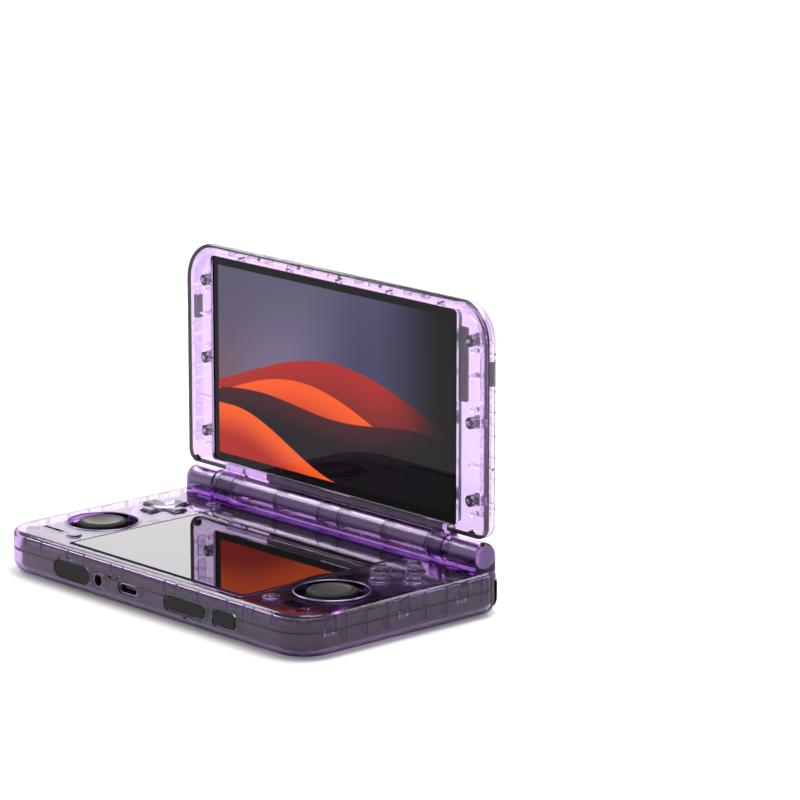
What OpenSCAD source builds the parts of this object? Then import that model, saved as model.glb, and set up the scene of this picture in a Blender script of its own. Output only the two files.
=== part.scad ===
// Clamshell handheld game console with two displays, in millimetres.
// +X is the player's right, +Y points to the hinge, +Z is up.
// The origin is under the middle of the base, on the surface that the feet stand on.
// The lid stands open at a right angle.

/* [Base] */
// Width of the base
base_w = 150; // [146:0.5:156]
// Depth of the base from front wall to rear wall
base_d = 85.8; // [84:0.2:92]
// Height of the base's face above the table
base_h = 14.5; // [14.3:0.1:16]
// Wall of the two base shells
wall = 1.8; // [1.5:0.1:2]
// Thickness of the base's face
face_t = 1.8; // [1.5:0.1:1.9]
// Thickness of the base's floor
floor_t = 1.6; // [1.2:0.1:1.8]
// Plan radius of the front corners
corner_front = 13; // [11:0.5:15]
// Plan radius of the rear corners
corner_rear = 7.5; // [7:0.1:8]
// Rounding along the face's edge
edge_top = 2.2; // [1.8:0.1:2.8]
// Rounding along the floor's edge
edge_bottom = 4.5; // [4:0.1:4.7]
// Height at which the two base shells part
split_z = 8.5; // [8.3:0.1:8.7]
// How far the feet stand below the floor
foot_proud = 0.4; // [0.3:0.1:0.6]
// Radius of a rubber foot
foot_r = 3.5; // [2.5:0.1:4]

/* [Lid] */
// Width of the lid
lid_w = 144.6; // [142:0.2:149]
// Thickness of the lid
lid_t = 6.6; // [6.4:0.1:7.4]
// Thickness of the lid's front frame, down to the parting line
frame_t = 2; // [1.8:0.1:2.2]
// Wall of the two lid shells
lid_wall = 1.4; // [1.2:0.1:1.6]
// Plan radius of the lid's two free corners
lid_corner = 13; // [9:0.5:14]
// Plan radius of the lid's two corners beside the hinge
lid_corner_low = 4.2; // [4:0.1:5]
// Distance from the lid's edge to its inner stiffening wall
lid_inner_wall = 2.9; // [2.7:0.1:3.1]
// Rounding along the edge of the lid's back
lid_edge_back = 3.6; // [2.5:0.1:3.7]
// Rounding along the edge of the lid's front
lid_edge_front = 1.1; // [0.8:0.1:1.3]
// Distance from hinge axis to the near edge of the lid
lid_near = 5.8; // [5.6:0.1:6.4]
// Distance from hinge axis to the far edge of the lid
lid_far = 81.6; // [80.8:0.1:86]
// Gap between the base's face and the closed lid
close_gap = 1.5; // [1.5:0.1:2.2]

/* [Hinge] */
// Height of the hinge axis above the base's face
hinge_rise = 3.7; // [3.5:0.1:4]
// Outer radius of the hinge barrel and of the two lobes
barrel_r = 4.8; // [4.5:0.1:4.9]
// Wall of the barrel
barrel_wall = 1.4; // [1.2:0.1:1.6]
// Distance from the base's side wall to the end of the lid's barrel
barrel_side = 20.4; // [20.2:0.1:24]
// Distance from the base's side wall to the outer end of a lobe
lobe_side = 3; // [2.4:0.1:4]
// Rounding of a lobe's outer end
lobe_round = 3; // [2:0.1:3.5]
// Radius of the hinge pins
pin_r = 2.2; // [1.8:0.1:2.4]

/* [Displays] */
// Width of the upper cover glass
upper_glass_w = 118.8; // [112:0.2:119.6]
// Height of the upper cover glass
upper_glass_h = 69.3; // [64:0.1:69.8]
// Distance from hinge axis to the lower edge of the upper glass
upper_glass_low = 8.7; // [8.6:0.1:9.4]
// Depth of the upper glass below the lid frame
glass_recess = 0.8; // [0.5:0.1:0.9]
// Thickness of both cover glasses
glass_t = 0.8; // [0.6:0.05:0.85]
// Thickness of both display panels
panel_t = 1.9; // [1.6:0.1:2]
// Width of the face beside the lower glass
side_panel = 32; // [31.8:0.1:35]
// Depth of the face behind the lower glass
rear_panel = 13.2; // [12.6:0.1:17]
// Distance from front wall to the lower glass
lower_glass_y = 4; // [3.8:0.1:4.6]
// Corner radius of both glasses
glass_corner = 1.5; // [0.8:0.1:2.5]

/* [Sticks] */
// Distance of each stick from the side wall
stick_side = 18.6; // [17.8:0.1:18.8]
// Distance of each stick from the front wall
stick_y = 29.2; // [28.6:0.1:29.6]
// Radius of the well round a stick at the face
well_r = 11.65; // [11.2:0.05:11.8]
// Depth of the well
well_depth = 5.1; // [5:0.1:5.3]
// Radius of the stick's cap
cap_r = 8.1; // [7.5:0.1:8.3]
// Height of the cap's rim above the face
cap_rise = 0.8; // [0.4:0.1:1]
// Thickness of the cap at its rim
cap_t = 2.6; // [2.2:0.1:2.8]
// Height of the stick's pivot above the table
stick_pivot_z = 6; // [5.9:0.1:6.1]

/* [Buttons] */
// Distance of the cross and of the face buttons from the side wall
pad_side = 18; // [17.6:0.1:18.4]
// Distance of the cross and of the face buttons from the rear wall
pad_rear = 29.9; // [29.4:0.1:30.2]
// Distance of a face button from the middle of its group
face_pitch = 7.7; // [7.4:0.1:7.9]
// Radius of a face button
face_r = 3; // [2.6:0.1:3.2]
// Rise of the face buttons above the face
face_rise = 1.3; // [0.8:0.1:1.4]
// Span of the cross
cross_span = 16.5; // [15:0.1:17]
// Width of an arm of the cross
cross_arm = 5.2; // [4.6:0.1:5.8]
// Rise of the cross above the face
cross_rise = 0.9; // [0.6:0.1:1]
// Distance of the front small buttons from the side wall
small_front_side = 26.4; // [26:0.1:26.8]
// Distance of the front small buttons from the front wall
small_front_y = 11.1; // [10.6:0.1:11.4]
// Radius of the front small buttons
small_front_r = 2.3; // [1.8:0.1:2.4]
// Distance of the rear small buttons from the side wall
small_rear_side = 25.8; // [25.2:0.1:26.4]
// Distance of the rear small buttons from the rear wall
small_rear_rear = 15.4; // [15:0.1:15.8]
// Radius of the rear small buttons
small_rear_r = 1.95; // [1.6:0.05:2.1]
// Rise of the small buttons above the face
small_rise = 0.6; // [0.3:0.1:0.9]
// Length of a speaker slit
slit_l = 10.4; // [8:0.1:11]
// Width of a speaker slit
slit_w = 1.3; // [0.8:0.1:1.6]
// Distance of the speaker slits from the side wall
slit_side = 14.7; // [14:0.1:15]
// Distance of the speaker slits from the front wall
slit_y = 11.8; // [11.4:0.1:12.2]

/* [Ports] */
// Distance from the left side wall to the middle of the card door
door_side = 39; // [38:0.1:39.6]
// Width of the card door
door_w = 17.9; // [16:0.1:18.4]
// Height of the card door
door_h = 5.6; // [4.6:0.1:5.8]
// Middle of the audio jack
jack_x = -22.6; // [-23:0.1:-22.2]
// Radius of the jack's ring
jack_r = 2.7; // [2.5:0.1:2.8]
// Radius of the jack's bore
jack_bore_r = 1.8; // [1.75:0.05:1.85]
// Middle of the charging port
usb_x = -7.7; // [-8.2:0.1:-7.2]
// Width of the charging port's metal mouth
usb_w = 8.94; // [8.6:0.02:9.2]
// Height of the charging port's metal mouth
usb_h = 3.26; // [3:0.02:3.4]
// Middle of the volume rocker
volume_x = 20.1; // [19.6:0.1:20.8]
// Width of the volume rocker
volume_w = 18.2; // [16:0.1:18.6]
// Height of the volume rocker
volume_h = 4; // [3.2:0.1:4.4]
// Rounding of the rocker's and the power button's corners
key_round = 1.5; // [1:0.1:1.6]
// Depth of the recess round the rocker and the power button
key_recess = 0.5; // [0.3:0.1:0.6]
// Middle of the power button
power_x = 39.2; // [38.8:0.1:39.8]
// Width of the power button
power_w = 9.4; // [8:0.1:9.8]
// Height of the power button
power_h = 4.8; // [4:0.1:5.2]
// Height of the ports' middle above the table
port_z = 7; // [6.9:0.1:7.1]
// Width of the rear vent
vent_w = 70; // [50:1:72]
// Height of the rear vent
vent_h = 4.6; // [4:0.1:4.7]
// Distance between two slanted slots of the vent
vent_pitch = 2.5; // [2.2:0.1:3.5]

/* [Shoulder buttons] */
// Length of the inner shoulder button
inner_l = 11.4; // [10:0.1:11.8]
// Length of the outer shoulder button, round the corner to the side wall
outer_l = 13.8; // [12.4:0.1:14]
// Distance between the two shoulder buttons of one side
shoulder_gap = 2.6; // [2.4:0.1:3.4]
// How far the shoulder buttons stand behind the rear wall
shoulder_proud = 1.2; // [0.9:0.1:1.5]
// Height of the shoulder buttons' upper edge
shoulder_top = 11; // [10.8:0.1:11.2]
// Height of the shoulder buttons' lower edge
shoulder_low = 0.9; // [0.8:0.1:1.4]
// Radius of the shoulder buttons' pin
shoulder_pin_r = 0.8; // [0.6:0.05:0.9]

/* [Inside] */
// Gap between the battery's rear edge and the fan
battery_gap = 1.5; // [0.6:0.1:4]
// Width of the battery
battery_w = 78; // [60:1:82]
// Thickness of the battery
battery_t = 4.6; // [3.5:0.1:5]
// Radius of the fan's case
fan_r = 16.5; // [14:0.1:16.8]
// Height of the fan's case
fan_h = 4.8; // [4:0.1:5.2]
// Number of fan blades
fan_blades = 15; // [9:1:19]
// Thickness of the circuit boards
board_t = 0.8; // [0.6:0.1:1]
// Thickness of the battery-side frame's plate
plate_t = 1; // [0.8:0.1:1.1]

/* [Fits] */
// Gap round a button in its hole
button_gap = 0.15; // [0.1:0.01:0.25]
// Gap round the cross in its hole
cross_gap = 0.4; // [0.36:0.01:0.5]
// Gap between fixed pieces that seat in one another
seat_gap = 0.1; // [0.05:0.01:0.2]
// Radial clearance of a pin in its bore
pin_gap = 0.05; // [0.03:0.01:0.08]

/* [Hidden] */
$fn = 64;

front_y = -(base_d + shoulder_proud) / 2;
rear_y = front_y + base_d;
floor_z = foot_proud + floor_t;
ceiling_z = base_h - face_t;
inner_x = base_w / 2 - wall;
side_x = base_w / 2;
lower_glass_w = base_w - 2 * side_panel;
lower_glass_d = base_d - lower_glass_y - rear_panel;
stick_x = side_x - stick_side;
pad_x = side_x - pad_side;
pad_y = base_d - pad_rear;
small_front_x = side_x - small_front_side;
small_rear_x = side_x - small_rear_side;
small_rear_y = base_d - small_rear_rear;
slit_x = side_x - slit_side;
outer_from = side_x - outer_l;
inner_to = outer_from - shoulder_gap;
inner_from = inner_to - inner_l;
hinge_y = rear_y - barrel_r;
hinge_z = base_h + hinge_rise;
lid_front = hinge_rise - close_gap;
lid_back = lid_front - lid_t;
lid_part = lid_front - frame_t;

rib_t = 0.8;
rib_d = 1;
side_ribs = [19, 27.5, 36, 52, 61, 76];
snap_spots = [13.5, 44, 68.5];
front_ribs = [-62, -53.4, -39.7, -31.5, -17.8, -11.9, 8.9, 14.7, 25.2, 38.8, 47, 51.2, 60];
post_r = 2.6;
post_top = 7;
tab_t = 1.2;
screw_r = 1;
screw_spots = [[side_x - 8.5, 8.5], [side_x - 28.6, 43.3], [side_x - 8.5, base_d - 10.6]];
foot_spots = [[side_x - 20, 14], [side_x - 20, base_d - 17.8]];
board_edge = lower_glass_w / 2 - 1;
door_x = door_side - base_w / 2;
side_board_y = 46.2;
side_board_d = base_d - 59.8;
frame_inset = wall + 1.2;
frame_wall = 1;
frame_low = 2.8;
frame_top = 11;
board_z = 7.4;
side_board_z = 8.6;
mat_z = side_board_z + board_t;
panel_z = base_h - glass_t - panel_t;
panel_margin = 1.8;
flange_top = ceiling_z - 0.1;
pad_pivot_z = 11.4;
pad_ring_r = 9.9;
cup_wall = 1.2;
cup_low = base_h - well_depth - 1.3;
well_floor_z = base_h - well_depth;
skirt_r = 8.6;
carriage_half = 6.2;
gimbal_half = 4.2;
housing_half = 7.5;
barrel_l = base_w - 2 * barrel_side;
lobe_in = barrel_l / 2 + 3;
lobe_out = side_x - lobe_side;
cartridge_l = lobe_out - lobe_in - 2.4;
trough_gap = 0.45;
cartridge_r = 3.5;
plug_l = 6.6;
neck_half = barrel_l / 2 - 0.6;
ring_end = barrel_l / 2 - plug_l - 0.3;
ring_near = 4.9;
neck_front = 0.2;
neck_t = 3.8;
pocket_front = rear_y - 4.6;
pocket_top = 11.7;
pivot_y = rear_y - 2.9;
pivot_z = 9.9;
skin_t = 1.6;
fan_x = 10;
fan_y = base_d - 25.8;
battery_y = 19;
battery_d = fan_y - fan_r - battery_gap - battery_y;
sink_y = fan_y + fan_r + 0.4;
sink_d = base_d - edge_bottom - 0.1 - sink_y;
pin_from = inner_from - 1.4;
pin_bracket = side_x - 6.2;
pin_bracket_t = 1.2;
lid_posts = [17.3, 42.4, 68.7];
lid_post_x = 64.2;
magnet_x = 69.95;
magnet_y = 55;
panel_w = upper_glass_w - 3;
panel_h = upper_glass_h - 3;
glass_mid = upper_glass_low + upper_glass_h / 2;
glass_back = lid_front - glass_recess - glass_t;
panel_back = glass_back - panel_t;
backplate_t = 0.6;
lid_floor = 1.2;
lid_cavity = lid_back + lid_floor;

// Material outside a rounded corner of a flat section, toward (sx, sz)
module corner_cut(x, z, r, sx, sz) {
    if (r > 0) difference() {
        translate([x - (sx > 0 ? r : 1), z - (sz > 0 ? r : 1)]) square(r + 1);
        translate([x - sx * r, z - sz * r]) circle(r);
    }
}

// Section from 0 to r with its outer corners rounded
module edge_profile(r, z0, z1, eb, et) {
    difference() {
        translate([0, z0]) square([r, z1 - z0]);
        corner_cut(r, z0, eb, 1, -1);
        corner_cut(r, z1, et, 1, 1);
    }
}

// Section over the full width with all outer corners rounded
module block_profile(w, z0, z1, eb, et) {
    difference() {
        translate([-w / 2, z0]) square([w, z1 - z0]);
        for (s = [-1, 1]) {
            corner_cut(s * w / 2, z0, eb, s, -1);
            corner_cut(s * w / 2, z1, et, s, 1);
        }
    }
}

// Slab from y0 to y1 and z0 to z1 with plan radii rf and rr, and rounded rims eb and et
module slab(w, y0, y1, z0, z1, rf, rr, eb, et) {
    translate([0, y1 - rr, 0]) rotate([90, 0, 0])
        linear_extrude(y1 - y0 - rf - rr) block_profile(w, z0, z1, eb, et);
    translate([w / 2 - rf, y0 + rf, 0]) rotate([90, 0, -90])
        linear_extrude(w - 2 * rf) edge_profile(rf, z0, z1, eb, et);
    translate([rr - w / 2, y1 - rr, 0]) rotate([90, 0, 90])
        linear_extrude(w - 2 * rr) edge_profile(rr, z0, z1, eb, et);
    for (s = [0, 1]) {
        translate([(s * 2 - 1) * (w / 2 - rf), y0 + rf, 0]) rotate([0, 0, s > 0 ? -90 : 180])
            rotate_extrude(angle = 90) edge_profile(rf, z0, z1, eb, et);
        translate([(s * 2 - 1) * (w / 2 - rr), y1 - rr, 0]) rotate([0, 0, s > 0 ? 0 : 90])
            rotate_extrude(angle = 90) edge_profile(rr, z0, z1, eb, et);
    }
}

// The base's outer form, or the same form some distance inside it
module base_form(z0, z1, eb, et, inset) {
    slab(base_w - 2 * inset, front_y + inset, rear_y - inset, z0, z1,
        corner_front - inset, corner_rear - inset, eb, et);
}

// The lid's outer form in the lid's own frame, or the same form some distance inside it
module lid_form(z0, z1, eb, et, inset) {
    slab(lid_w - 2 * inset, lid_near + inset, lid_far - inset, z0, z1,
        lid_corner_low - inset, lid_corner - inset, eb, et);
}

// The lid's frame: x along the hinge, y up from the hinge axis, z out of the display
module on_lid() {
    translate([0, hinge_y, hinge_z]) rotate([90, 0, 0]) children();
}

// A block from low corner to high corner
module block(low, high) {
    translate(low) cube(high - low);
}

// Both sides
module both() {
    children();
    mirror([1, 0, 0]) children();
}

// A place on the base by its distance from the front wall
module at(x, from_front, z) {
    translate([x, front_y + from_front, z]) children();
}

// A flat plate with rounded corners
module plate(w, d, t, r) {
    linear_extrude(t) rounded(w, d, r);
}

module rounded(w, d, r) {
    square([w - 2 * r, d], center = true);
    square([w, d - 2 * r], center = true);
    for (x = [-1, 1], y = [-1, 1]) translate([x * (w / 2 - r), y * (d / 2 - r)]) circle(r);
}

// An opening with round ends through the front wall
module front_slot(x, z, w, h, from, to) {
    at(x, to, z) rotate([90, 0, 0]) linear_extrude(to - from) stadium(w, h);
}

// A key or an opening with rounded corners through the front wall
module front_key(x, w, h, r, from, to) {
    at(x, to, port_z) rotate([90, 0, 0]) linear_extrude(to - from) rounded(w, h, r);
}

module stadium(w, h) {
    square([w - h, h], center = true);
    for (s = [-1, 1]) translate([s * (w - h) / 2, 0]) circle(h / 2);
}

module tube(r_out, r_in, h) {
    difference() {
        cylinder(r = r_out, h = h);
        translate([0, 0, -1]) cylinder(r = r_in, h = h + 2);
    }
}

// The pockets that take the two shoulder buttons of the right side
module shoulder_pockets() {
    block([inner_from - 0.5, pocket_front, -1], [inner_to + 0.3, rear_y + 5, pocket_top]);
    block([outer_from - 0.4, pocket_front, -1], [base_w, rear_y + 5, pocket_top]);
}

// The walls that close the shell round those pockets
module shoulder_walls(z0, z1) {
    wall_in = 1.2;
    difference() {
        intersection() {
            block([inner_from - 0.5 - wall_in, pocket_front - wall_in, z0], [base_w, base_d, z1]);
            base_form(foot_proud, base_h, edge_bottom, edge_top, 0.3);
        }
        block([inner_from - 0.5, pocket_front, z0 - 1], [inner_to + 0.3, rear_y, z1 + 1]);
        block([outer_from - 0.4, pocket_front, z0 - 1], [base_w, rear_y, z1 + 1]);
    }
}

// Openings of the front wall
module front_openings() {
    front_slot(door_x, port_z, door_w + 0.4, door_h + 0.4, -1, wall + 1);
    at(jack_x, wall + 1, port_z) rotate([90, 0, 0]) cylinder(r = jack_r + seat_gap, h = wall + 2);
    front_slot(usb_x, port_z, usb_w + 0.6, usb_h + 0.4, -1, wall + 1);
    for (k = [[volume_x, volume_w, volume_h], [power_x, power_w, power_h]]) {
        front_key(k.x, k.y + 0.4, k.z + 0.4, key_round + 0.2, -1, wall + 1);
        front_key(k.x, k.y + 1.8, k.z + 1.4, key_round + 0.7, -1, key_recess);
    }
    for (m = [[-17.9, 9.7], [-16.3, 9.5], [-12.9, 9.8]])
        at(m.x, wall + 1, m.y) rotate([90, 0, 0]) cylinder(r = 0.45, h = wall + 2, $fn = 24);
    at(volume_x - 0.5, wall + 1, 3.6) rotate([90, 0, 0]) cylinder(r = 0.4, h = wall + 2, $fn = 24);
}

module bottom_shell() {
    vent_slot = 1.2;
    color("MediumOrchid") difference() {
        union() {
            difference() {
                base_form(foot_proud, split_z, edge_bottom, 0, 0);
                base_form(floor_z, split_z + 1, edge_bottom - wall, 0, wall);
            }
            both() {
                for (p = screw_spots) at(p.x, p.y, floor_z - 0.5)
                    cylinder(r = post_r, h = post_top - floor_z + 0.5);
                shoulder_walls(foot_proud, split_z);
                for (y = side_ribs) at(inner_x - rib_d, y, floor_z + 2.4)
                    cube([rib_d + 0.1, rib_t, split_z - floor_z - 2.7]);
            }
            for (y = [battery_y - 1.4, battery_y + battery_d + 0.4])
                at(-battery_w / 2, y, floor_z - 0.4) cube([battery_w, 1, 2.4]);
        }
        both() {
            shoulder_pockets();
            for (p = screw_spots) at(p.x, p.y, 0) {
                cylinder(r = screw_r + 0.15, h = base_h);
                cylinder(r = 2.1, h = 2.2);
            }
            for (p = foot_spots) at(p.x, p.y, 0) cylinder(r = foot_r + seat_gap, h = 1);
        }
        front_openings();
        at(0, base_d - wall / 2, 6) cube([vent_w + 0.2, wall + 2, vent_h + 0.2], center = true);
        for (i = [-5:5]) at(fan_x + i * 2.6, fan_y, 0)
            cube([vent_slot, 2 * sqrt(14 * 14 - pow(i * 2.6, 2)), 6], center = true);
    }
}

// A lobe on the right that carries the hinge
module lobe() {
    lobe_l = lobe_out - lobe_in;
    translate([lobe_in, hinge_y, hinge_z]) rotate([0, 90, 0])
        rotate_extrude() edge_profile(barrel_r, 0, lobe_l, 0, lobe_round);
    difference() {
        block([lobe_in, hinge_y - barrel_r, pocket_top + 0.3], [lobe_out, hinge_y + barrel_r, hinge_z]);
        for (s = [-1, 1]) translate([0, hinge_y, 0]) linear_extrude(base_h + 20)
            corner_cut(lobe_out, s * barrel_r, lobe_round, 1, s);
    }
}

// A snap tongue of the top shell, with its window, that reaches down behind the bottom shell's wall
module snap(y) {
    difference() {
        at(inner_x - rib_d, y - 2, split_z - 2) cube([rib_d - seat_gap, 4, 2.2]);
        at(inner_x - 2, y - 1.4, split_z - 1.4) cube([3, 2.8, 0.8]);
    }
    at(inner_x - rib_d, y - 2, split_z) cube([rib_d + 0.1, 4, ceiling_z - split_z]);
}

module top_shell() {
    post_low = post_top + tab_t;
    trough_r = barrel_r + trough_gap;
    color("Orchid") difference() {
        union() {
            difference() {
                base_form(split_z, base_h, 0, edge_top, 0);
                base_form(split_z - 1, ceiling_z, 0, edge_top - wall, wall);
            }
            both() {
                for (p = screw_spots) at(p.x, p.y, post_low)
                    cylinder(r = post_r - 0.2, h = ceiling_z - post_low + 0.5);
                at(stick_x, stick_y, cup_low)
                    cylinder(r = well_r + cup_wall, h = ceiling_z - cup_low + 0.5);
                shoulder_walls(split_z, ceiling_z + 0.3);
                intersection() {
                    block([inner_from - 1.5, pocket_front - 1, pocket_top],
                        [base_w, rear_y - 0.5, ceiling_z + 0.3]);
                    base_form(foot_proud, base_h, edge_bottom, edge_top, 0.3);
                }
                lobe();
                for (y = snap_spots) snap(y);
                for (y = side_ribs) at(inner_x - rib_d, y, split_z + 0.2)
                    cube([rib_d + 0.1, rib_t, ceiling_z - split_z]);
                at(slit_x, slit_y, ceiling_z - 0.8) plate(slit_l + 3, slit_w + 3, 1, 1);
            }
            for (x = front_ribs) at(x, wall - 0.1, ceiling_z - 2.8) cube([rib_t, rib_d, 3]);
            intersection() {
                translate([-lobe_in, hinge_y, hinge_z]) rotate([0, 90, 0])
                    cylinder(r = trough_r + 1.3, h = 2 * lobe_in);
                block([-base_w, front_y, ceiling_z - 3], [base_w, rear_y - 1, ceiling_z + 0.5]);
            }
            at(-pad_x, pad_y, pad_pivot_z - 0.9) for (s = [-1, 1])
                translate([s * (pad_ring_r + 2) - 0.7, -1.2, 0])
                    cube([1.4, 2.4, ceiling_z - pad_pivot_z + 1.4]);
        }
        both() {
            shoulder_pockets();
            for (p = screw_spots) at(p.x, p.y, post_low - 1) cylinder(r = screw_r + 0.05, h = 4.2);
            at(stick_x, stick_y, well_floor_z)
                cylinder(r1 = well_r - 0.6, r2 = well_r, h = well_depth + 0.01);
            at(stick_x, stick_y, 0) cylinder(r = skirt_r + 0.15, h = base_h);
            at(small_front_x, small_front_y, 0)
                cylinder(r = small_front_r + button_gap, h = base_h + 1);
            at(small_rear_x, small_rear_y, 0) cylinder(r = small_rear_r + button_gap, h = base_h + 1);
            at(slit_x, slit_y, ceiling_z - 2) plate(slit_l, slit_w, 8, slit_w / 2 - 0.01);
            translate([lobe_in - 1, hinge_y, hinge_z]) rotate([0, 90, 0])
                cylinder(r = cartridge_r + pin_gap, h = cartridge_l + 1.5);
            translate([inner_from - 3, pivot_y, pivot_z]) rotate([0, 90, 0])
                cylinder(r = shoulder_pin_r + pin_gap, h = 40);
        }
        for (a = [0:90:270]) at(pad_x + face_pitch * cos(a), pad_y + face_pitch * sin(a), 0)
            cylinder(r = face_r + button_gap, h = base_h + 1);
        at(-pad_x, pad_y, ceiling_z - 1) linear_extrude(8)
            cross(cross_span + 2 * cross_gap, cross_arm + 2 * cross_gap);
        at(-pad_x - 20, pad_y, pad_pivot_z) rotate([0, 90, 0])
            cylinder(r = 0.5 + pin_gap, h = 40, $fn = 32);
        at(0, lower_glass_y + lower_glass_d / 2, base_h - glass_t)
            plate(lower_glass_w + 2 * seat_gap, lower_glass_d + 2 * seat_gap, 2, glass_corner);
        at(0, lower_glass_y + lower_glass_d / 2, ceiling_z - 1)
            plate(lower_glass_w - 2 * panel_margin + 0.4, lower_glass_d - 2 * panel_margin + 0.4, 3,
                glass_corner);
        translate([-lobe_in + 0.3, hinge_y, hinge_z]) rotate([0, 90, 0])
            cylinder(r = trough_r, h = 2 * lobe_in - 0.6);
        front_openings();
    }
    // Brackets that hold the outer ends of the shoulder buttons' pins
    color("Orchid") both() difference() {
        union() {
            block([pin_bracket, pivot_y - 1.6, split_z],
                [pin_bracket + pin_bracket_t, pivot_y + 0.3, pocket_top + 0.2]);
            block([pin_bracket, pivot_y, split_z],
                [pin_bracket + pin_bracket_t, pivot_y + 1.2, shoulder_top - skin_t - 0.15]);
        }
        translate([pin_bracket - 1, pivot_y, pivot_z]) rotate([0, 90, 0])
            cylinder(r = shoulder_pin_r + pin_gap, h = pin_bracket_t + 2);
    }
}

module cross(span, arm) {
    square([span, arm], center = true);
    square([arm, span], center = true);
}

module mid_frame() {
    color("DimGray") difference() {
        union() {
            difference() {
                base_form(frame_low, frame_top, 0, 0, frame_inset);
                base_form(frame_low - 1, frame_top + 1, 0, 0, frame_inset + frame_wall);
                block([-base_w, pocket_front - 1.5, 0], [base_w, base_d, base_h]);
            }
            at(-lower_glass_w / 2, frame_inset + 0.5, panel_z - plate_t)
                cube([lower_glass_w, lower_glass_y + lower_glass_d - frame_inset, plate_t]);
            for (x = [-board_edge, -board_edge / 2, board_edge / 2 + 1, board_edge - 1])
                at(x, frame_inset + 0.5, frame_top - 1.2) cube([1, 10, 1.2]);
            both() {
                for (p = screw_spots) at(p.x, p.y, post_top) cylinder(r = post_r + 0.4, h = tab_t);
                at(screw_spots[0].x, screw_spots[0].y, post_top) rotate([0, 0, -45])
                    translate([0, -2, 0]) cube([4.5, 4, tab_t]);
                at(screw_spots[2].x, screw_spots[2].y - 2, post_top) cube([5, 4, tab_t]);
                at(board_edge, screw_spots[1].y - 2, post_top) cube([4, 4, tab_t]);
                at(board_edge, screw_spots[1].y - 2, post_top) cube([1.4, 4, panel_z - post_top]);
                for (y = [side_board_y, side_board_y + side_board_d - 1.6])
                    at(board_edge, y, side_board_z - 1)
                    cube([inner_x - board_edge - 1.8, 1.6, 1]);
                at(board_edge + 0.2, side_board_y, side_board_z - 1)
                    cube([1, side_board_d, panel_z - side_board_z + 0.5]);
                at(board_edge + 3.4, frame_inset + 0.5, side_board_z - 1) cube([7.4, 11.5, 1]);
            }
            at(volume_x, 3.7, frame_low + 0.7) cylinder(r = 1.5, h = 0.7, $fn = 32);
            at(volume_x, 3.7, port_z + volume_h / 2 + 0.9)
                cylinder(r = 1.5, h = frame_top - port_z - volume_h / 2 - 0.9, $fn = 32);
        }
        both() for (p = screw_spots) at(p.x, p.y, 0) cylinder(r = screw_r + 0.15, h = base_h);
        at(door_x, frame_inset + 0.5, port_z) cube([door_w + 2, 3, door_h + 1.2], center = true);
        at(jack_x, frame_inset + 2, port_z) cube([7.2, 8, 6.2], center = true);
        at(usb_x, frame_inset + 2, port_z) cube([usb_w + 1, 8, usb_h + 1], center = true);
        at(volume_x, frame_inset, port_z) cube([volume_w + 3, 5, volume_h + 1.7], center = true);
        at(power_x, frame_inset + 0.5, port_z) cube([power_w + 2.6, 3, power_h + 1.4], center = true);
        at(volume_x, 3.7, 1) cylinder(r = 0.6 + pin_gap, h = base_h, $fn = 32);
        at(-15.4, frame_inset + 0.5, 9.8) cube([8, 3, 1.6], center = true);
    }
}

module main_board() {
    color("DarkGreen") {
        difference() {
            at(-board_edge, 4.4, board_z) cube([2 * board_edge, base_d - 9.8, board_t]);
            at(jack_x, 4, board_z) cube([7.2, 24, 4], center = true);
            at(usb_x, 4, board_z) cube([usb_w + 0.6, 15.6, 4], center = true);
            at(door_x, 4, board_z) cube([17.4, 31.4, 4], center = true);
            at(volume_x, 4, board_z) cube([volume_w + 3, 4, 4], center = true);
            both() at(board_edge + 2.6, screw_spots[1].y, board_z) cube([8.5, 8, 4], center = true);
        }
        for (c = [[-24, 30, 12], [-6, 30, 14], [14, 34, 9], [27, 28, 11], [-26, 52, 10], [30, 46, 8],
            [-12, 66, 9]])
            at(c.x, c.y, board_z + board_t) cube([c.z, c.z, 1.1]);
    }
}

module battery() {
    color("Black") {
        at(-battery_w / 2 + 0.4, battery_y, floor_z) cube([battery_w - 0.8, battery_d, battery_t]);
        at(-battery_w / 2 + 8, battery_y + battery_d - 0.5, floor_z) cube([16, 0.8, battery_t - 1]);
    }
}

module button_boards() {
    color("DarkGreen") {
        both() difference() {
            at(board_edge + 1.4, side_board_y, side_board_z)
                cube([inner_x - board_edge - 3.6, side_board_d, board_t]);
            at(screw_spots[2].x, screw_spots[2].y, side_board_z - 1) cylinder(r = post_r + 0.6, h = 3);
            at(pad_x - 0.5, pad_y + 3.1, side_board_z - 1) cylinder(r = 0.9, h = 3, $fn = 24);
        }
        both() at(board_edge + 3.6, 6, side_board_z) cube([7, 9, board_t]);
    }
}

// A silicone dome with a skirt, hollow from below
module dome(r, h) {
    difference() {
        cylinder(r1 = r, r2 = r - 0.7, h = h, $fn = 32);
        translate([0, 0, -0.01]) cylinder(r1 = r - 0.5, r2 = r - 1.1, h = h - 0.45, $fn = 32);
    }
}

module button_mats() {
    web = 0.4;
    color("WhiteSmoke") {
        for (s = [-1, 1]) at(s * pad_x, pad_y, mat_z) {
            difference() {
                plate(24, 20, web, 3);
                for (a = [0:90:270]) rotate([0, 0, a]) translate([face_pitch, 0, -1])
                    cylinder(r = 2, h = 2, $fn = 32);
            }
            for (a = [0:90:270]) rotate([0, 0, a]) translate([face_pitch, 0, 0]) dome(2.6, 1);
        }
        both() {
            at(small_rear_x, small_rear_y, mat_z) dome(2.4, 1);
            at(small_front_x, small_front_y, mat_z) dome(2.4, 1);
        }
    }
}

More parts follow.
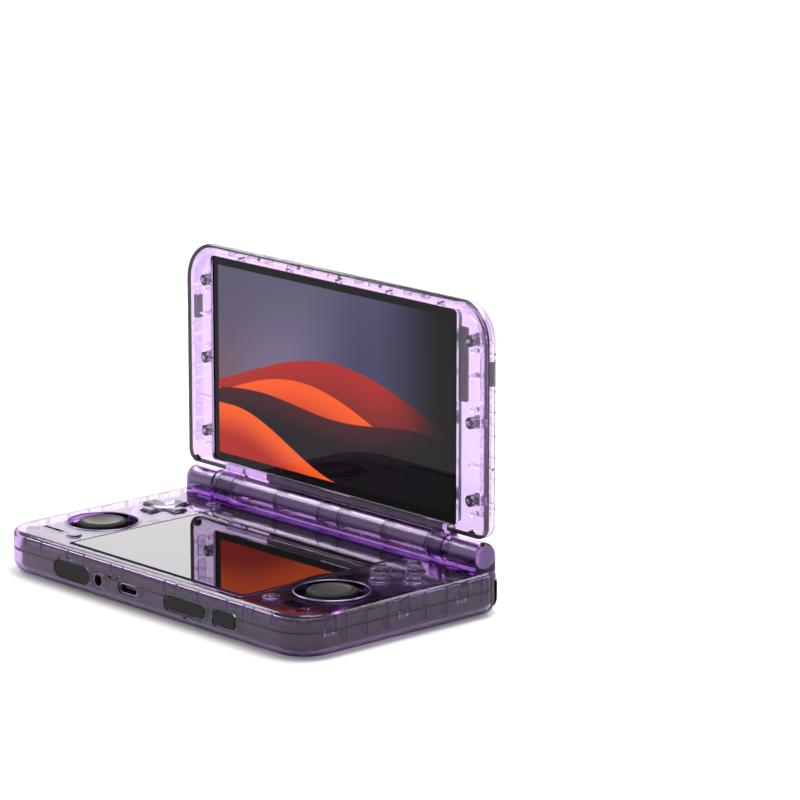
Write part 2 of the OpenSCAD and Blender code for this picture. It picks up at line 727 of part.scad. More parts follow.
module stick_housings() {
    hull_t = 1.2;
    color("SlateGray") both() at(stick_x, stick_y, floor_z) difference() {
        translate([0, 0, 2.65]) cube([2 * housing_half, 2 * housing_half, 5.3], center = true);
        translate([0, 0, 5 + hull_t])
            cube([2 * carriage_half + 0.2, 2 * carriage_half + 0.2, 10], center = true);
        for (a = [0, 90]) rotate([0, 0, a]) translate([0, 0, 5.3]) cube([30, 5, 2.4], center = true);
    }
}

module lower_glass() {
    color("Black") at(0, lower_glass_y + lower_glass_d / 2, base_h - glass_t)
        plate(lower_glass_w, lower_glass_d, glass_t, glass_corner);
}

module lower_display() {
    color("DarkSlateGray") at(0, lower_glass_y + lower_glass_d / 2, panel_z)
        plate(lower_glass_w - 2 * panel_margin, lower_glass_d - 2 * panel_margin, panel_t,
            glass_corner);
}

module speakers() {
    color("Black") both() at(slit_x - 1.9, slit_y - 0.2, 0) {
        translate([0, 0, 5]) plate(9.4, 8.6, 5.6, 1.5);
        translate([0, 0, 10.6]) plate(8.4, 7.6, ceiling_z - 0.8 - 10.6, 1.4);
        translate([-3, -3, floor_z]) cube([6, 6, 3.1]);
    }
}

module audio_jack() {
    color("Silver") difference() {
        union() {
            at(jack_x, 3, port_z) rotate([90, 0, 0]) cylinder(r = jack_r, h = 2.9);
            at(jack_x - 3.2, 3, port_z - 2.7) cube([6.4, 12, 5.4]);
        }
        at(jack_x, 13, port_z) rotate([90, 0, 0]) cylinder(r = jack_bore_r, h = 14);
    }
}

module usb_port() {
    shell_t = 0.3;
    color("Silver") difference() {
        front_slot(usb_x, port_z, usb_w, usb_h, 0.4, 8);
        front_slot(usb_x, port_z, usb_w - 2 * shell_t, usb_h - 2 * shell_t, 0, 7.2);
    }
    color("Black") at(usb_x - 3.3, 2, port_z - 0.35) cube([6.6, 5.6, 0.7]);
}

module card_socket() {
    color("Silver") difference() {
        at(door_x - 8, frame_inset + 1.6, port_z - 1.9) cube([16, battery_y - frame_inset - 2.2, 3.8]);
        at(door_x - 6.6, frame_inset, port_z - 1) cube([13.2, 13, 1.9]);
    }
}

module fan_housing() {
    sheet_t = 0.5;
    color("DimGray") at(fan_x, fan_y, floor_z) {
        difference() {
            union() {
                cylinder(r = fan_r, h = fan_h);
                translate([-fan_r, 0, 0]) cube([2 * fan_r, fan_r + 0.4, fan_h]);
            }
            translate([0, 0, sheet_t]) cylinder(r = fan_r - 1, h = fan_h - 2 * sheet_t);
            translate([1 - fan_r, 0, sheet_t]) cube([2 * fan_r - 2, fan_r + 2, fan_h - 2 * sheet_t]);
            translate([0, 0, fan_h - 1]) cylinder(r = 10, h = 2);
            for (a = [0:90:270]) rotate([0, 0, a + 45]) translate([8, 0, -1])
                cylinder(r = 4.4, h = 3, $fn = 40);
        }
        cylinder(r = 0.9, h = fan_h - 1, $fn = 32);
    }
}

module fan_rotor() {
    hub_r = 5.4;
    tip_r = fan_r - 2;
    color("Black") at(fan_x, fan_y, floor_z + 0.9) difference() {
        union() {
            cylinder(r = hub_r, h = fan_h - 2);
            for (i = [1:fan_blades]) rotate([0, 0, i * 360 / fan_blades])
                translate([hub_r - 1, 0, 0.3]) rotate([0, 0, 18])
                    cube([tip_r - hub_r, 0.7, fan_h - 2.6]);
        }
        translate([0, 0, -1]) cylinder(r = 0.9 + pin_gap, h = fan_h + 2, $fn = 32);
    }
}

module heat_sink() {
    fin_pitch = 2;
    low = floor_z;
    color("Peru") {
        at(-30, sink_y, low) cube([56.5, sink_d, 0.6]);
        for (i = [0:28]) at(-30 + i * fin_pitch, sink_y, low) cube([0.5, sink_d, fan_h]);
        at(-26, battery_y + battery_d + 2, board_z - 1.8)
            cube([14, fan_y + fan_r - battery_y - battery_d, 1.8]);
    }
}

module vent_grille() {
    rim = 0.8;
    slant = 30;
    count = floor((vent_w - 4) / vent_pitch / 2);
    color("Black") at(0, base_d - 0.2, 6) rotate([90, 0, 0]) difference() {
        translate([0, 0, 0]) linear_extrude(wall - 0.4) square([vent_w, vent_h], center = true);
        for (i = [-count:count]) translate([i * vent_pitch, 0, -1])
            linear_extrude(4) rotate(-slant) stadium_up(1.3, vent_h - 2 * rim + 0.3);
    }
}

module stadium_up(w, h) {
    square([w, h - w], center = true);
    for (s = [-1, 1]) translate([0, s * (h - w) / 2]) circle(w / 2, $fn = 24);
}

module hinge_cores() {
    color("Silver") both() translate([0, hinge_y, hinge_z]) rotate([0, 90, 0]) {
        translate([0, 0, lobe_in + 0.4]) cylinder(r = cartridge_r, h = cartridge_l);
        translate([0, 0, barrel_l / 2 - plug_l + 0.6]) cylinder(r = pin_r, h = plug_l + 3.4);
    }
}

module hinge_rings() {
    color("Gray") both() translate([barrel_l / 2 + 0.6, hinge_y, hinge_z]) rotate([0, 90, 0])
        tube(barrel_r - 0.2, pin_r + 0.02, 1.8);
}

module shoulder_pins() {
    color("Silver") both() translate([pin_from, pivot_y, pivot_z]) rotate([0, 90, 0])
        cylinder(r = shoulder_pin_r, h = pin_bracket + pin_bracket_t - pin_from);
}

module feet() {
    color("Black") both() for (p = foot_spots) at(p.x, p.y, 0) cylinder(r = foot_r, h = 1);
}

module base_screws() {
    color("Silver") both() for (p = screw_spots) at(p.x, p.y, 0) {
        difference() {
            translate([0, 0, foot_proud + 0.5]) cylinder(r = 1.9, h = 2.2 - foot_proud - 0.5);
            translate([0, 0, foot_proud]) cylinder(r = 0.9, h = 1.1, $fn = 6);
        }
        translate([0, 0, 2]) cylinder(r = screw_r, h = 9);
    }
}

module lid_frame() {
    hook_spots = [47, 20, -8, -38];
    color("MediumOrchid") on_lid() difference() {
        union() {
            lid_form(lid_part, lid_front, 0, lid_edge_front, 0);
            difference() {
                translate([0, glass_mid, panel_back]) plate(panel_w + 2.2, panel_h + 2.2, 2.6, 2);
                translate([0, glass_mid, panel_back - 1]) plate(panel_w + 0.2, panel_h + 0.2, 6, 1);
            }
            for (s = [-1, 1], y = lid_posts) translate([s * lid_post_x, y, lid_cavity + 1.6])
                cylinder(r = 1.9, h = lid_part - lid_cavity, $fn = 40);
            for (i = [-2:2]) translate([i * 19.7 - 2.6, lid_far - lid_wall - 1.2, lid_part - 1.4])
                cube([5, 1, 2]);
            // Hooks that hold the display's metal back
            for (x = hook_spots)
                translate([x - 2.2, glass_mid + panel_h / 2 - 2, panel_back - backplate_t - 0.85]) {
                cube([4.4, 3.1, 0.8]);
                translate([0, 2.1, 0]) cube([4.4, 1, 2]);
            }
        }
        translate([0, glass_mid, glass_back])
            plate(upper_glass_w + 2 * seat_gap, upper_glass_h + 2 * seat_gap, 4, glass_corner);
        translate([0, glass_mid, panel_back - backplate_t]) plate(panel_w + 0.2, panel_h + 0.2, 6, 1);
        for (s = [-1, 1], y = lid_posts) translate([s * lid_post_x, y, lid_cavity])
            cylinder(r = 0.85, h = lid_front - 1 - lid_cavity, $fn = 32);
        for (s = [-1, 1]) translate([s * 67, lid_near + 1.9, lid_front - 1])
            cylinder(r = 1 + seat_gap / 2, h = 3, $fn = 32);
        neck_room();
    }
}

// Room for the barrel's neck in the lid's lower wall
module neck_room() {
    translate([-neck_half - 0.1, lid_near - 1, neck_front - neck_t - 0.1])
        cube([2 * neck_half + 0.2, lid_wall + 1.5, neck_t + 0.2]);
}

// The cover's inner stiffening wall, broken into lengths, and the rungs that tie it to the edge
module lid_ladder() {
    ladder_t = 0.7;
    top = lid_part - 0.2;
    inset = lid_inner_wall;
    difference() {
        lid_form(lid_cavity - 0.4, top, 0, 0, inset);
        lid_form(lid_cavity - 1, top + 1, 0, 0, inset + ladder_t);
        block([-lid_w, 0, lid_back], [lid_w, 13, lid_front]);
        for (s = [-1, 1], y = [20.6, 34.5, 49.6, 66.4]) translate([s * lid_w / 2, y, 0])
            cube([20, 1.4, 20], center = true);
        for (x = [-46, -22, 2, 26, 50]) translate([x, lid_far, 0]) cube([2, 20, 20], center = true);
    }
    for (x = [-52, -33.5, -14, 10.5, 33.5, 42]) translate([x, lid_far - inset - 0.3, lid_cavity - 0.4])
        cube([0.7, inset - 1, top - lid_cavity + 0.4]);
    for (s = [-1, 1], y = [15, 24.5, 31.5, 38.5, 46, 52.8, 64.6])
        translate([s * (lid_w / 2 - (inset + lid_wall) / 2) - inset / 2 + 0.4, y, lid_cavity - 0.4])
            cube([inset - 0.8, 0.7, top - lid_cavity + 0.4]);
}

module lid_cover() {
    color("Orchid") on_lid() difference() {
        union() {
            difference() {
                lid_form(lid_back, lid_part, lid_edge_back, 0, 0);
                lid_form(lid_cavity, lid_part + 1, lid_edge_back - 1.4, 0, lid_wall);
            }
            for (s = [-1, 1], y = lid_posts) translate([s * lid_post_x, y, lid_cavity - 0.4])
                cylinder(r = 2.2, h = 2, $fn = 40);
            for (s = [-1, 1], y = [17.1, 28.2, 42.3, 56.7, 69])
                translate([s * 66.4 - 4.6, y - 0.4, lid_cavity - 0.4]) cube([9.2, 0.8, 2]);
            lid_ladder();
            for (s = [-1, 1], y = [12.7, 46.4, 57.4, 65.2])
                translate([s * lid_post_x, y, lid_cavity - 0.4])
                cylinder(r = 0.8, h = 3, $fn = 24);
            for (s = [-1, 1]) translate([s * magnet_x - 1.15, magnet_y - 0.4, lid_cavity - 0.4])
                cube([2.3, 8.6, 2.6]);
        }
        for (s = [-1, 1]) translate([s * magnet_x - 0.95, magnet_y - seat_gap, lid_cavity])
            cube([1.9, 7.8 + 2 * seat_gap, 8]);
        for (s = [-1, 1], y = lid_posts) translate([s * lid_post_x, y, lid_back - 1]) {
            cylinder(r = 0.95, h = 6, $fn = 32);
            cylinder(r = 1.75, h = 1.9, $fn = 40);
        }
        neck_room();
    }
}

module lid_barrel() {
    bore_r = barrel_r - barrel_wall;
    color("Orchid") on_lid() difference() {
        union() {
            translate([-barrel_l / 2, 0, 0]) rotate([0, 90, 0]) cylinder(r = barrel_r, h = barrel_l);
            translate([-neck_half, 0, neck_front - neck_t])
                cube([2 * neck_half, lid_near + lid_wall + 0.4, neck_t]);
        }
        translate([-barrel_l / 2 + plug_l, 0, 0]) rotate([0, 90, 0])
            cylinder(r = bore_r, h = barrel_l - 2 * plug_l);
        translate([-barrel_l / 2 - 1, 0, 0]) rotate([0, 90, 0])
            cylinder(r = pin_r + pin_gap, h = barrel_l + 2);
        for (s = [-1, 1]) translate([s * (neck_half - plug_l) - 0.2, 0, 0]) rotate([0, 90, 0])
            tube(barrel_r + 1, barrel_r - 0.3, 0.4);
        translate([-neck_half + 8, 0, neck_front - neck_t + 1.2])
            cube([2 * neck_half - 16, lid_near + 4, neck_t - 2.4]);
    }
    for (s = [-1, 1], i = [0, 0.5, 1]) color("Orchid") on_lid()
        translate([s * (ring_near + i * (ring_end - ring_near)) - 0.4, 0, 0]) rotate([0, 90, 0])
            tube(bore_r + 0.3, pin_r + 0.2, 0.8);
}

module upper_glass() {
    color("Black") on_lid() translate([0, glass_mid, glass_back])
        plate(upper_glass_w, upper_glass_h, glass_t, glass_corner);
}

module upper_display() {
    color("DarkSlateGray") on_lid() translate([0, glass_mid, panel_back])
        plate(panel_w, panel_h, panel_t, 1);
}

module lid_backplate() {
    plate_back = panel_back - backplate_t;
    color("DimGray") on_lid() difference() {
        union() {
            translate([0, glass_mid, plate_back]) plate(panel_w - 1, panel_h - 2, backplate_t, 1.5);
            translate([-panel_w / 2 + 1, glass_mid - 3, plate_back])
                plate(8, panel_h - 14, backplate_t, 1);
            translate([panel_w / 2 - 0.2, 60.4, plate_back]) plate(7.6, 24, backplate_t, 0.8);
            for (x = [-40, 0, 40]) translate([x, glass_mid, lid_cavity])
                cylinder(r = 2.4, h = plate_back - lid_cavity + 0.2);
        }
        for (x = [-40, 0, 40]) translate([x, glass_mid, lid_cavity - 1])
            cylinder(r = 1, h = 3, $fn = 32);
        // The D-shaped opening with its stepped edge, and the small window near the top
        translate([-48.9, 43, plate_back - 1]) linear_extrude(3) intersection() {
            union() {
                circle(15.2);
                translate([0, -9]) square([16.6, 18]);
                for (s = [-1, 1]) translate([0, s * 1.6]) circle(15);
            }
            translate([0, -20]) square(40);
        }
        translate([-24.6, 70.5, plate_back - 1]) plate(12.4, 5, 3, 0.5);
    }
}

module lid_board() {
    low = lid_near + lid_wall + 0.9;
    back = panel_back - 1.2;
    color("DarkGreen") on_lid() {
        translate([-30, low, back]) cube([80, 3, 0.6]);
        for (x = [-26, -14, 0, 12, 30, 42]) translate([x, low + 0.5, back + 0.6]) cube([4, 2.2, 0.5]);
    }
}

module lid_magnets() {
    color("DimGray") on_lid() for (s = [-1, 1]) translate([s * magnet_x - 0.85, magnet_y, lid_cavity])
        cube([1.7, 7.8, 2.2]);
}

module lid_bumpers() {
    color("Black") on_lid() for (s = [-1, 1]) translate([s * 67, lid_near + 1.9, lid_front - 1])
        cylinder(r = 1, h = 2.2, $fn = 32);
}

module lid_screws() {
    color("Silver") on_lid() for (s = [-1, 1], y = lid_posts) translate([s * lid_post_x, y, 0]) {
        difference() {
            translate([0, 0, lid_back + 0.3]) cylinder(r = 1.55, h = 0.6, $fn = 32);
            translate([0, 0, lid_back]) cylinder(r = 0.7, h = 0.7, $fn = 6);
        }
        translate([0, 0, lid_back + 0.7]) cylinder(r = 0.8, h = 4.5, $fn = 32);
    }
}

// The pressed carriage that carries a stick's gimbal
module carriage(s) {
    color("SlateGray") at(s * stick_x, stick_y, stick_pivot_z) difference() {
        cube([2 * carriage_half, 2 * carriage_half, 3], center = true);
        cube([2 * gimbal_half + 1, 2 * gimbal_half + 1, 4], center = true);
        translate([-20, 0, 0]) rotate([0, 90, 0]) cylinder(r = 0.7 + pin_gap, h = 40, $fn = 32);
    }
}

module gimbal(s) {
    color("Silver") at(s * stick_x, stick_y, stick_pivot_z) {
        difference() {
            cube([2 * gimbal_half, 2 * gimbal_half, 2.4], center = true);
            cube([2 * gimbal_half - 2, 2 * gimbal_half - 2, 4], center = true);
            translate([0, 20, 0]) rotate([90, 0, 0]) cylinder(r = 0.7 + pin_gap, h = 40, $fn = 32);
        }
        for (d = [-1, 1]) translate([d * (gimbal_half + 0.6) - 0.9, 0, 0]) rotate([0, 90, 0])
            cylinder(r = 0.7, h = 1.8, $fn = 32);
    }
}

module stick(s) {
    rim_z = base_h + cap_rise;
    low_z = rim_z - cap_t;
    dish_r = 24;
    color("Black") at(s * stick_x, stick_y, 0) {
        rotate_extrude() difference() {
            edge_profile(cap_r, low_z, rim_z, 0.5, 0.9);
            translate([0, rim_z + dish_r - 1]) circle(dish_r, $fn = 160);
        }
        rotate_extrude() intersection() {
            difference() {
                translate([0, stick_pivot_z]) circle(skirt_r);
                translate([0, stick_pivot_z]) circle(skirt_r - 1);
            }
            translate([3.5, stick_pivot_z + skirt_r / 2])
                square([6, low_z - stick_pivot_z - skirt_r / 2 + 0.5]);
        }
        translate([0, 0, stick_pivot_z - 1.5]) cylinder(r = 2, h = low_z - stick_pivot_z + 2);
    }
    color("Silver") at(s * stick_x, stick_y + gimbal_half - 0.1, stick_pivot_z) rotate([90, 0, 0])
        cylinder(r = 0.7, h = 2 * gimbal_half - 0.2, $fn = 32);
}

module dpad_pivot() {
    color("Silver") at(-pad_x, pad_y, pad_pivot_z) {
        difference() {
            translate([0, 0, -0.5]) tube(pad_ring_r + 1.1, pad_ring_r, 1);
            translate([0, 20, 0]) rotate([90, 0, 0]) cylinder(r = 0.35 + pin_gap, h = 40, $fn = 24);
        }
        for (s = [-1, 1]) translate([s * (pad_ring_r + 1.7) - 0.85, 0, 0]) rotate([0, 90, 0])
            cylinder(r = 0.5, h = 1.7, $fn = 32);
    }
}

module dpad() {
    step = 0.4;
    dish_r = 36;
    dish_d = 0.5;
    top_z = base_h + cross_rise;
    color("Lavender") at(-pad_x, pad_y, 0) {
        translate([0, 0, pad_pivot_z - 0.5]) cylinder(r = pad_ring_r - 0.4, h = 1);
        difference() {
            union() {
                translate([0, 0, pad_pivot_z]) linear_extrude(top_z - step - pad_pivot_z)
                    cross(cross_span, cross_arm);
                translate([0, 0, pad_pivot_z]) linear_extrude(top_z - pad_pivot_z)
                    cross(cross_span - 2 * step, cross_arm - 2 * step);
            }
            translate([0, 0, top_z + dish_r - dish_d]) ball(dish_r);
        }
        for (s = [-1, 1]) translate([0, s * (pad_ring_r + 0.2) + 0.7, pad_pivot_z]) rotate([90, 0, 0])
            cylinder(r = 0.35, h = 1.4, $fn = 24);
    }
}

module ball(r) {
    rotate_extrude() intersection() {
        circle(r, $fn = 128);
        translate([0, -r]) square([r, 2 * r]);
    }
}

// A round button with a retaining flange under the face
module round_button(r, rise) {
    cap_top = base_h + rise;
    translate([0, 0, flange_top - 0.9]) cylinder(r = r + 0.6, h = 0.9);
    rotate_extrude() edge_profile(r, flange_top - 1.4, cap_top, 0, min(rise - 0.1, r - 0.2));
}

module face_button(a) {
    color("Lavender") at(pad_x + face_pitch * cos(a), pad_y + face_pitch * sin(a), 0)
        round_button(face_r, face_rise);
}

module small_button(x, y, r) {
    color("Lavender") at(x, y, 0) round_button(r, small_rise);
}

module volume_rocker() {
    color("Black") front_key(volume_x, volume_w, volume_h, key_round, 0.3, 2.7);
    color("Black") at(volume_x, 0, port_z) {
        translate([0, 2.7, 0]) cube([volume_w + 1.6, 0.7, volume_h + 1.2], center = true);
        translate([0, 3.7, -volume_h / 2 - 0.6]) cylinder(r = 1.2, h = volume_h + 1.2, $fn = 32);
        translate([0, 3.7, -volume_h / 2 - 1.6]) cylinder(r = 0.6, h = volume_h + 3.2, $fn = 32);
    }
}

module power_button() {
    color("Black") front_key(power_x, power_w, power_h, key_round, 0.2, 2.2);
    color("Black") at(power_x, 2.25, port_z) cube([power_w + 1.6, 0.7, power_h + 0.8], center = true);
}

module card_door() {
    color("DimGray") {
        front_slot(door_x, port_z, door_w, door_h, 0.1, 1.9);
        at(door_x - 6.4, 1.8, port_z - 0.8) cube([12.8, 3.2, 1.5]);
    }
}

// Skin of the right shoulder buttons between two places along the hinge
module shoulder_skin(x0, x1) {
    outer_r = corner_rear + shoulder_proud;
    y0 = rear_y - 40;
    y1 = rear_y + shoulder_proud;
    intersection() {
        difference() {
            slab(base_w, y0, y1, shoulder_low, shoulder_top, outer_r, outer_r, edge_bottom, 0.6);
            slab(base_w - 2 * skin_t, y0 + skin_t, y1 - skin_t, shoulder_low + skin_t,
                shoulder_top - skin_t,
                outer_r - skin_t, outer_r - skin_t, edge_bottom - skin_t, 0);
        }
        block([x0, pivot_y + 0.5, 0], [x1, y1 + 1, shoulder_top + 1]);
    }
}

module shoulder(x0, x1) {
    lug_t = 1.4;
    color("Black") difference() {
        union() {
            shoulder_skin(x0, x1);
            for (x = [x0 + 0.2, min(x1, pin_bracket - 0.2) - lug_t - 0.2]) {
                translate([x, pivot_y, pivot_z]) rotate([0, 90, 0]) cylinder(r = 1.4, h = lug_t);
                block([x, pivot_y, pivot_z - 1.4], [x + lug_t, rear_y - 0.2, pivot_z + 0.9]);
            }
        }
        translate([x0 - 1, pivot_y, pivot_z]) rotate([0, 90, 0])
            cylinder(r = shoulder_pin_r + pin_gap, h = 20);
    }
}

module shoulder_inner_left() { mirror([1, 0, 0]) shoulder(inner_from, inner_to); }
module shoulder_inner_right() { shoulder(inner_from, inner_to); }
module shoulder_outer_left() { mirror([1, 0, 0]) shoulder(outer_from, base_w); }
module shoulder_outer_right() { shoulder(outer_from, base_w); }

bottom_shell();
top_shell();
mid_frame();
main_board();
battery();
button_boards();
button_mats();
stick_housings();
lower_glass();
lower_display();
speakers();
audio_jack();
usb_port();
card_socket();
fan_housing();
heat_sink();
vent_grille();
hinge_cores();
hinge_rings();
shoulder_pins();
feet();
base_screws();
lid_frame();
lid_cover();
lid_barrel();
upper_glass();
upper_display();
lid_backplate();
lid_board();
lid_magnets();
lid_bumpers();
lid_screws();
carriage(-1);  // stick_carriage_left
carriage(1);  // stick_carriage_right
gimbal(-1);  // stick_gimbal_left
gimbal(1);  // stick_gimbal_right
stick(-1);  // stick_left
stick(1);  // stick_right
dpad_pivot();
dpad();
face_button(90);  // face_button_north
face_button(0);  // face_button_east
face_button(270);  // face_button_south
face_button(180);  // face_button_west
small_button(-small_front_x, small_front_y, small_front_r);  // small_button_front_left
small_button(small_front_x, small_front_y, small_front_r);  // small_button_front_right
small_button(-small_rear_x, small_rear_y, small_rear_r);  // small_button_rear_left
small_button(small_rear_x, small_rear_y, small_rear_r);  // small_button_rear_right
volume_rocker();
power_button();
card_door();
shoulder_inner_left();
shoulder_inner_right();
shoulder_outer_left();
shoulder_outer_right();
fan_rotor();
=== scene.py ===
import math
import bmesh
import bpy
from mathutils import Matrix, Vector
from mathutils.bvhtree import BVHTree


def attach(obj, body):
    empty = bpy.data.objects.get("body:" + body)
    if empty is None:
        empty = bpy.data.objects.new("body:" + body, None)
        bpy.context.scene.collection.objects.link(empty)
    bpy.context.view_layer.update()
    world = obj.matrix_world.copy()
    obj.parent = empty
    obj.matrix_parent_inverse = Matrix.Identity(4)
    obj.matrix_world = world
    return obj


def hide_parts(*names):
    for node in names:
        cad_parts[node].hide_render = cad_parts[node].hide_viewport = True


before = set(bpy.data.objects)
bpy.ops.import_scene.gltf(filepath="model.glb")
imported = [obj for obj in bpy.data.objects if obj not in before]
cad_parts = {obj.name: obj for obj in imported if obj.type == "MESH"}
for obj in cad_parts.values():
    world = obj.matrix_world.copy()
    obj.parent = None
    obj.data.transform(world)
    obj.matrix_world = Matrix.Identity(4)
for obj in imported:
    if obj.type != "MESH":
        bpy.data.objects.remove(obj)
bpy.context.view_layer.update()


# The studio: a pale table under a white sky, a soft box overhead, strips on the left and
# behind that draw the rounded edges, and a wide box far behind that the face mirrors.
# The camera is a long lens from the front right, a little above the face.
MM = 0.001
VIEW_TARGET = Vector((119.2, -43.5, 90.3)) * MM
VIEW_AZIMUTH = math.radians(47.45)
VIEW_ELEVATION = math.radians(13.2)
VIEW_DISTANCE = 1.2254
VIEW_LENS = 190.87
WHITE = (1, 1, 1, 1)
SKY_LIGHT = 0.75
TABLE_REACH = 12.0
TABLE_GLOW = 0.1


def empty_tree(holder):
    """The node tree of a material or of the world, with nothing in it yet."""
    holder.use_nodes = True
    holder.node_tree.nodes.clear()
    return holder.node_tree


def add_node(tree, kind, sockets=None, **settings):
    """A node whose sockets are fed from other sockets or set to plain values."""
    node = tree.nodes.new(kind)
    for setting, value in settings.items():
        setattr(node, setting, value)
    for socket, value in (sockets or {}).items():
        if isinstance(value, bpy.types.NodeSocket):
            tree.links.new(value, node.inputs[socket])
        else:
            node.inputs[socket].default_value = value
    return node


def maths(tree, operation, *values):
    """The result of one sum on sockets and plain numbers."""
    return add_node(tree, "ShaderNodeMath", dict(enumerate(values)), operation=operation).outputs[0]


def add_object(name, data):
    """A named object that holds a mesh, a lamp or a camera, put into the scene."""
    holder = bpy.data.objects.new(name, data)
    bpy.context.collection.objects.link(holder)
    return holder


def look_along(holder, way):
    """Turn a lamp or a camera to look one way."""
    holder.rotation_euler = way.to_track_quat("-Z", "Y").to_euler()


def make_camera():
    """A long lens, aimed so that the console stands low and to the left."""
    toward = Vector((
        math.sin(VIEW_AZIMUTH) * math.cos(VIEW_ELEVATION),
        -math.cos(VIEW_AZIMUTH) * math.cos(VIEW_ELEVATION),
        math.sin(VIEW_ELEVATION),
    ))
    lens = bpy.data.cameras.new("camera")
    lens.lens = VIEW_LENS
    lens.clip_start = 0.01
    camera = add_object("camera", lens)
    camera.location = VIEW_TARGET + toward * VIEW_DISTANCE
    look_along(camera, -toward)
    bpy.context.scene.camera = camera


def make_sky():
    """White to the eye, in mirrors and through glass, and softer as a light."""
    world = bpy.data.worlds.new("sky")
    bpy.context.scene.world = world
    tree = empty_tree(world)
    ray = add_node(tree, "ShaderNodeLightPath").outputs
    seen = ray["Is Camera Ray"]
    for kind in ("Is Glossy Ray", "Is Transmission Ray"):
        seen = maths(tree, "MAXIMUM", seen, ray[kind])
    light, white = [
        add_node(tree, "ShaderNodeBackground", {"Color": WHITE, "Strength": strength})
        for strength in (SKY_LIGHT, 1.0)
    ]
    both = {0: seen, 1: light.outputs[0], 2: white.outputs[0]}
    mix = add_node(tree, "ShaderNodeMixShader", both)
    add_node(tree, "ShaderNodeOutputWorld", {"Surface": mix.outputs[0]})


def soft_box(name, place, aim, size, watts):
    """A soft rectangular lamp; its place, its aim and its size are in metres."""
    light = bpy.data.lights.new(name, "AREA")
    light.shape = "RECTANGLE"
    light.size, light.size_y = size
    light.energy = watts
    lamp = add_object(name, light)
    lamp.location = place
    look_along(lamp, Vector(aim) - Vector(place))


def make_table():
    """A pale matt top that takes the console's shadow."""
    mesh = bpy.data.meshes.new("table_top")
    ways = ((-1, -1), (1, -1), (1, 1), (-1, 1))
    corners = [(x * TABLE_REACH, y * TABLE_REACH, 0) for x, y in ways]
    mesh.from_pydata(corners, [], [(0, 1, 2, 3)])
    material = bpy.data.materials.new("table_white")
    tree = empty_tree(material)
    seen = add_node(tree, "ShaderNodeLightPath").outputs["Is Camera Ray"]
    paint = add_node(tree, "ShaderNodeBsdfPrincipled", {
        "Base Color": (0.86, 0.86, 0.87, 1),
        "Roughness": 0.7,
        "Specular IOR Level": 0.2,
        "Emission Color": WHITE,
        "Emission Strength": maths(tree, "MULTIPLY", seen, TABLE_GLOW),
    })
    add_node(tree, "ShaderNodeOutputMaterial", {"Surface": paint.outputs[0]})
    mesh.materials.append(material)
    add_object("table_top", mesh)


make_camera()
make_sky()
soft_box("top_box", (0.1, 0.1, 0.9), (0, 0, 0.03), (0.45, 0.45), 5)
soft_box("left_strip", (-0.95, 0.0, 0.85), (0, 0, 0.03), (1.0, 0.2), 4.5)
soft_box("back_strip", (0.15, 0.85, 0.9), (0, 0.03, 0.06), (1.0, 0.2), 4)
soft_box("mirror_box", (-1.25, 1.15, 0.45), (0, 0, 0.02), (1.0, 0.7), 3.0)
make_table()
bpy.context.scene.view_settings.view_transform = "Standard"


# The clear purple mouldings: both base shells, the lid's frame and back, the barrel and
# the rings at its ends. They are injection moulded in tinted polycarbonate, polished
# outside and satin inside, and the colour deepens wherever a wall is seen edge on.
TINT = (0.47, 0.0, 0.68)
LID_DEPTH = 70.0
BASE_DEPTH = 220.0
SATIN = 0.12
MOULDED_CREASE = 35
WELD = 1e-7
# In millimetres: the front wall and the hinge from the middle of the base, the ribs along
# the side walls from the front wall.
FRONT_WALL = 43.5
HINGE_Y, HINGE_Z = 37.5, 18.2
SIDE_RIBS = (72.15, 73.3)
FRONT_RIBS = (1.75, 2.85)
RIB_FOOT = 10
RIB_SPAN = (-0.05, 0.85)
RIB_MARKS_X = (-62, -53.4, -39.7, -31.5, -17.8, -11.9, 8.9, 14.7, 25.2, 38.8, 47, 51.2, 60)
RIB_MARKS_Y = (19, 27.5, 36, 52, 61, 76)
BARREL_RIB_END = 53.5
BARREL_RIB_RADIUS = 3.32


def object_place(tree):
    """Where each point lies on its own piece, in metres."""
    return add_node(tree, "ShaderNodeTexCoord").outputs["Object"]


def mottle(tree, place, scale, detail=2.0):
    """A fine cloud of light and dark over the surface."""
    cloud = {"Vector": place, "Scale": scale, "Detail": detail}
    return add_node(tree, "ShaderNodeTexNoise", cloud).outputs["Fac"]


def between(tree, share, low, high):
    """A share from nought to one, spread between two values."""
    span = {"Value": share, "To Min": low, "To Max": high}
    return add_node(tree, "ShaderNodeMapRange", span).outputs["Result"]


def bumps(tree, height, strength, depth):
    """Fine relief that follows a height; its depth is in metres."""
    relief = {"Height": height, "Strength": strength, "Distance": depth}
    return add_node(tree, "ShaderNodeBump", relief).outputs[0]


def finish_with(tree, skin, **more):
    """The principled skin of a finish, joined to the material's output."""
    surface = add_node(tree, "ShaderNodeBsdfPrincipled", skin).outputs[0]
    add_node(tree, "ShaderNodeOutputMaterial", {"Surface": surface, **more})


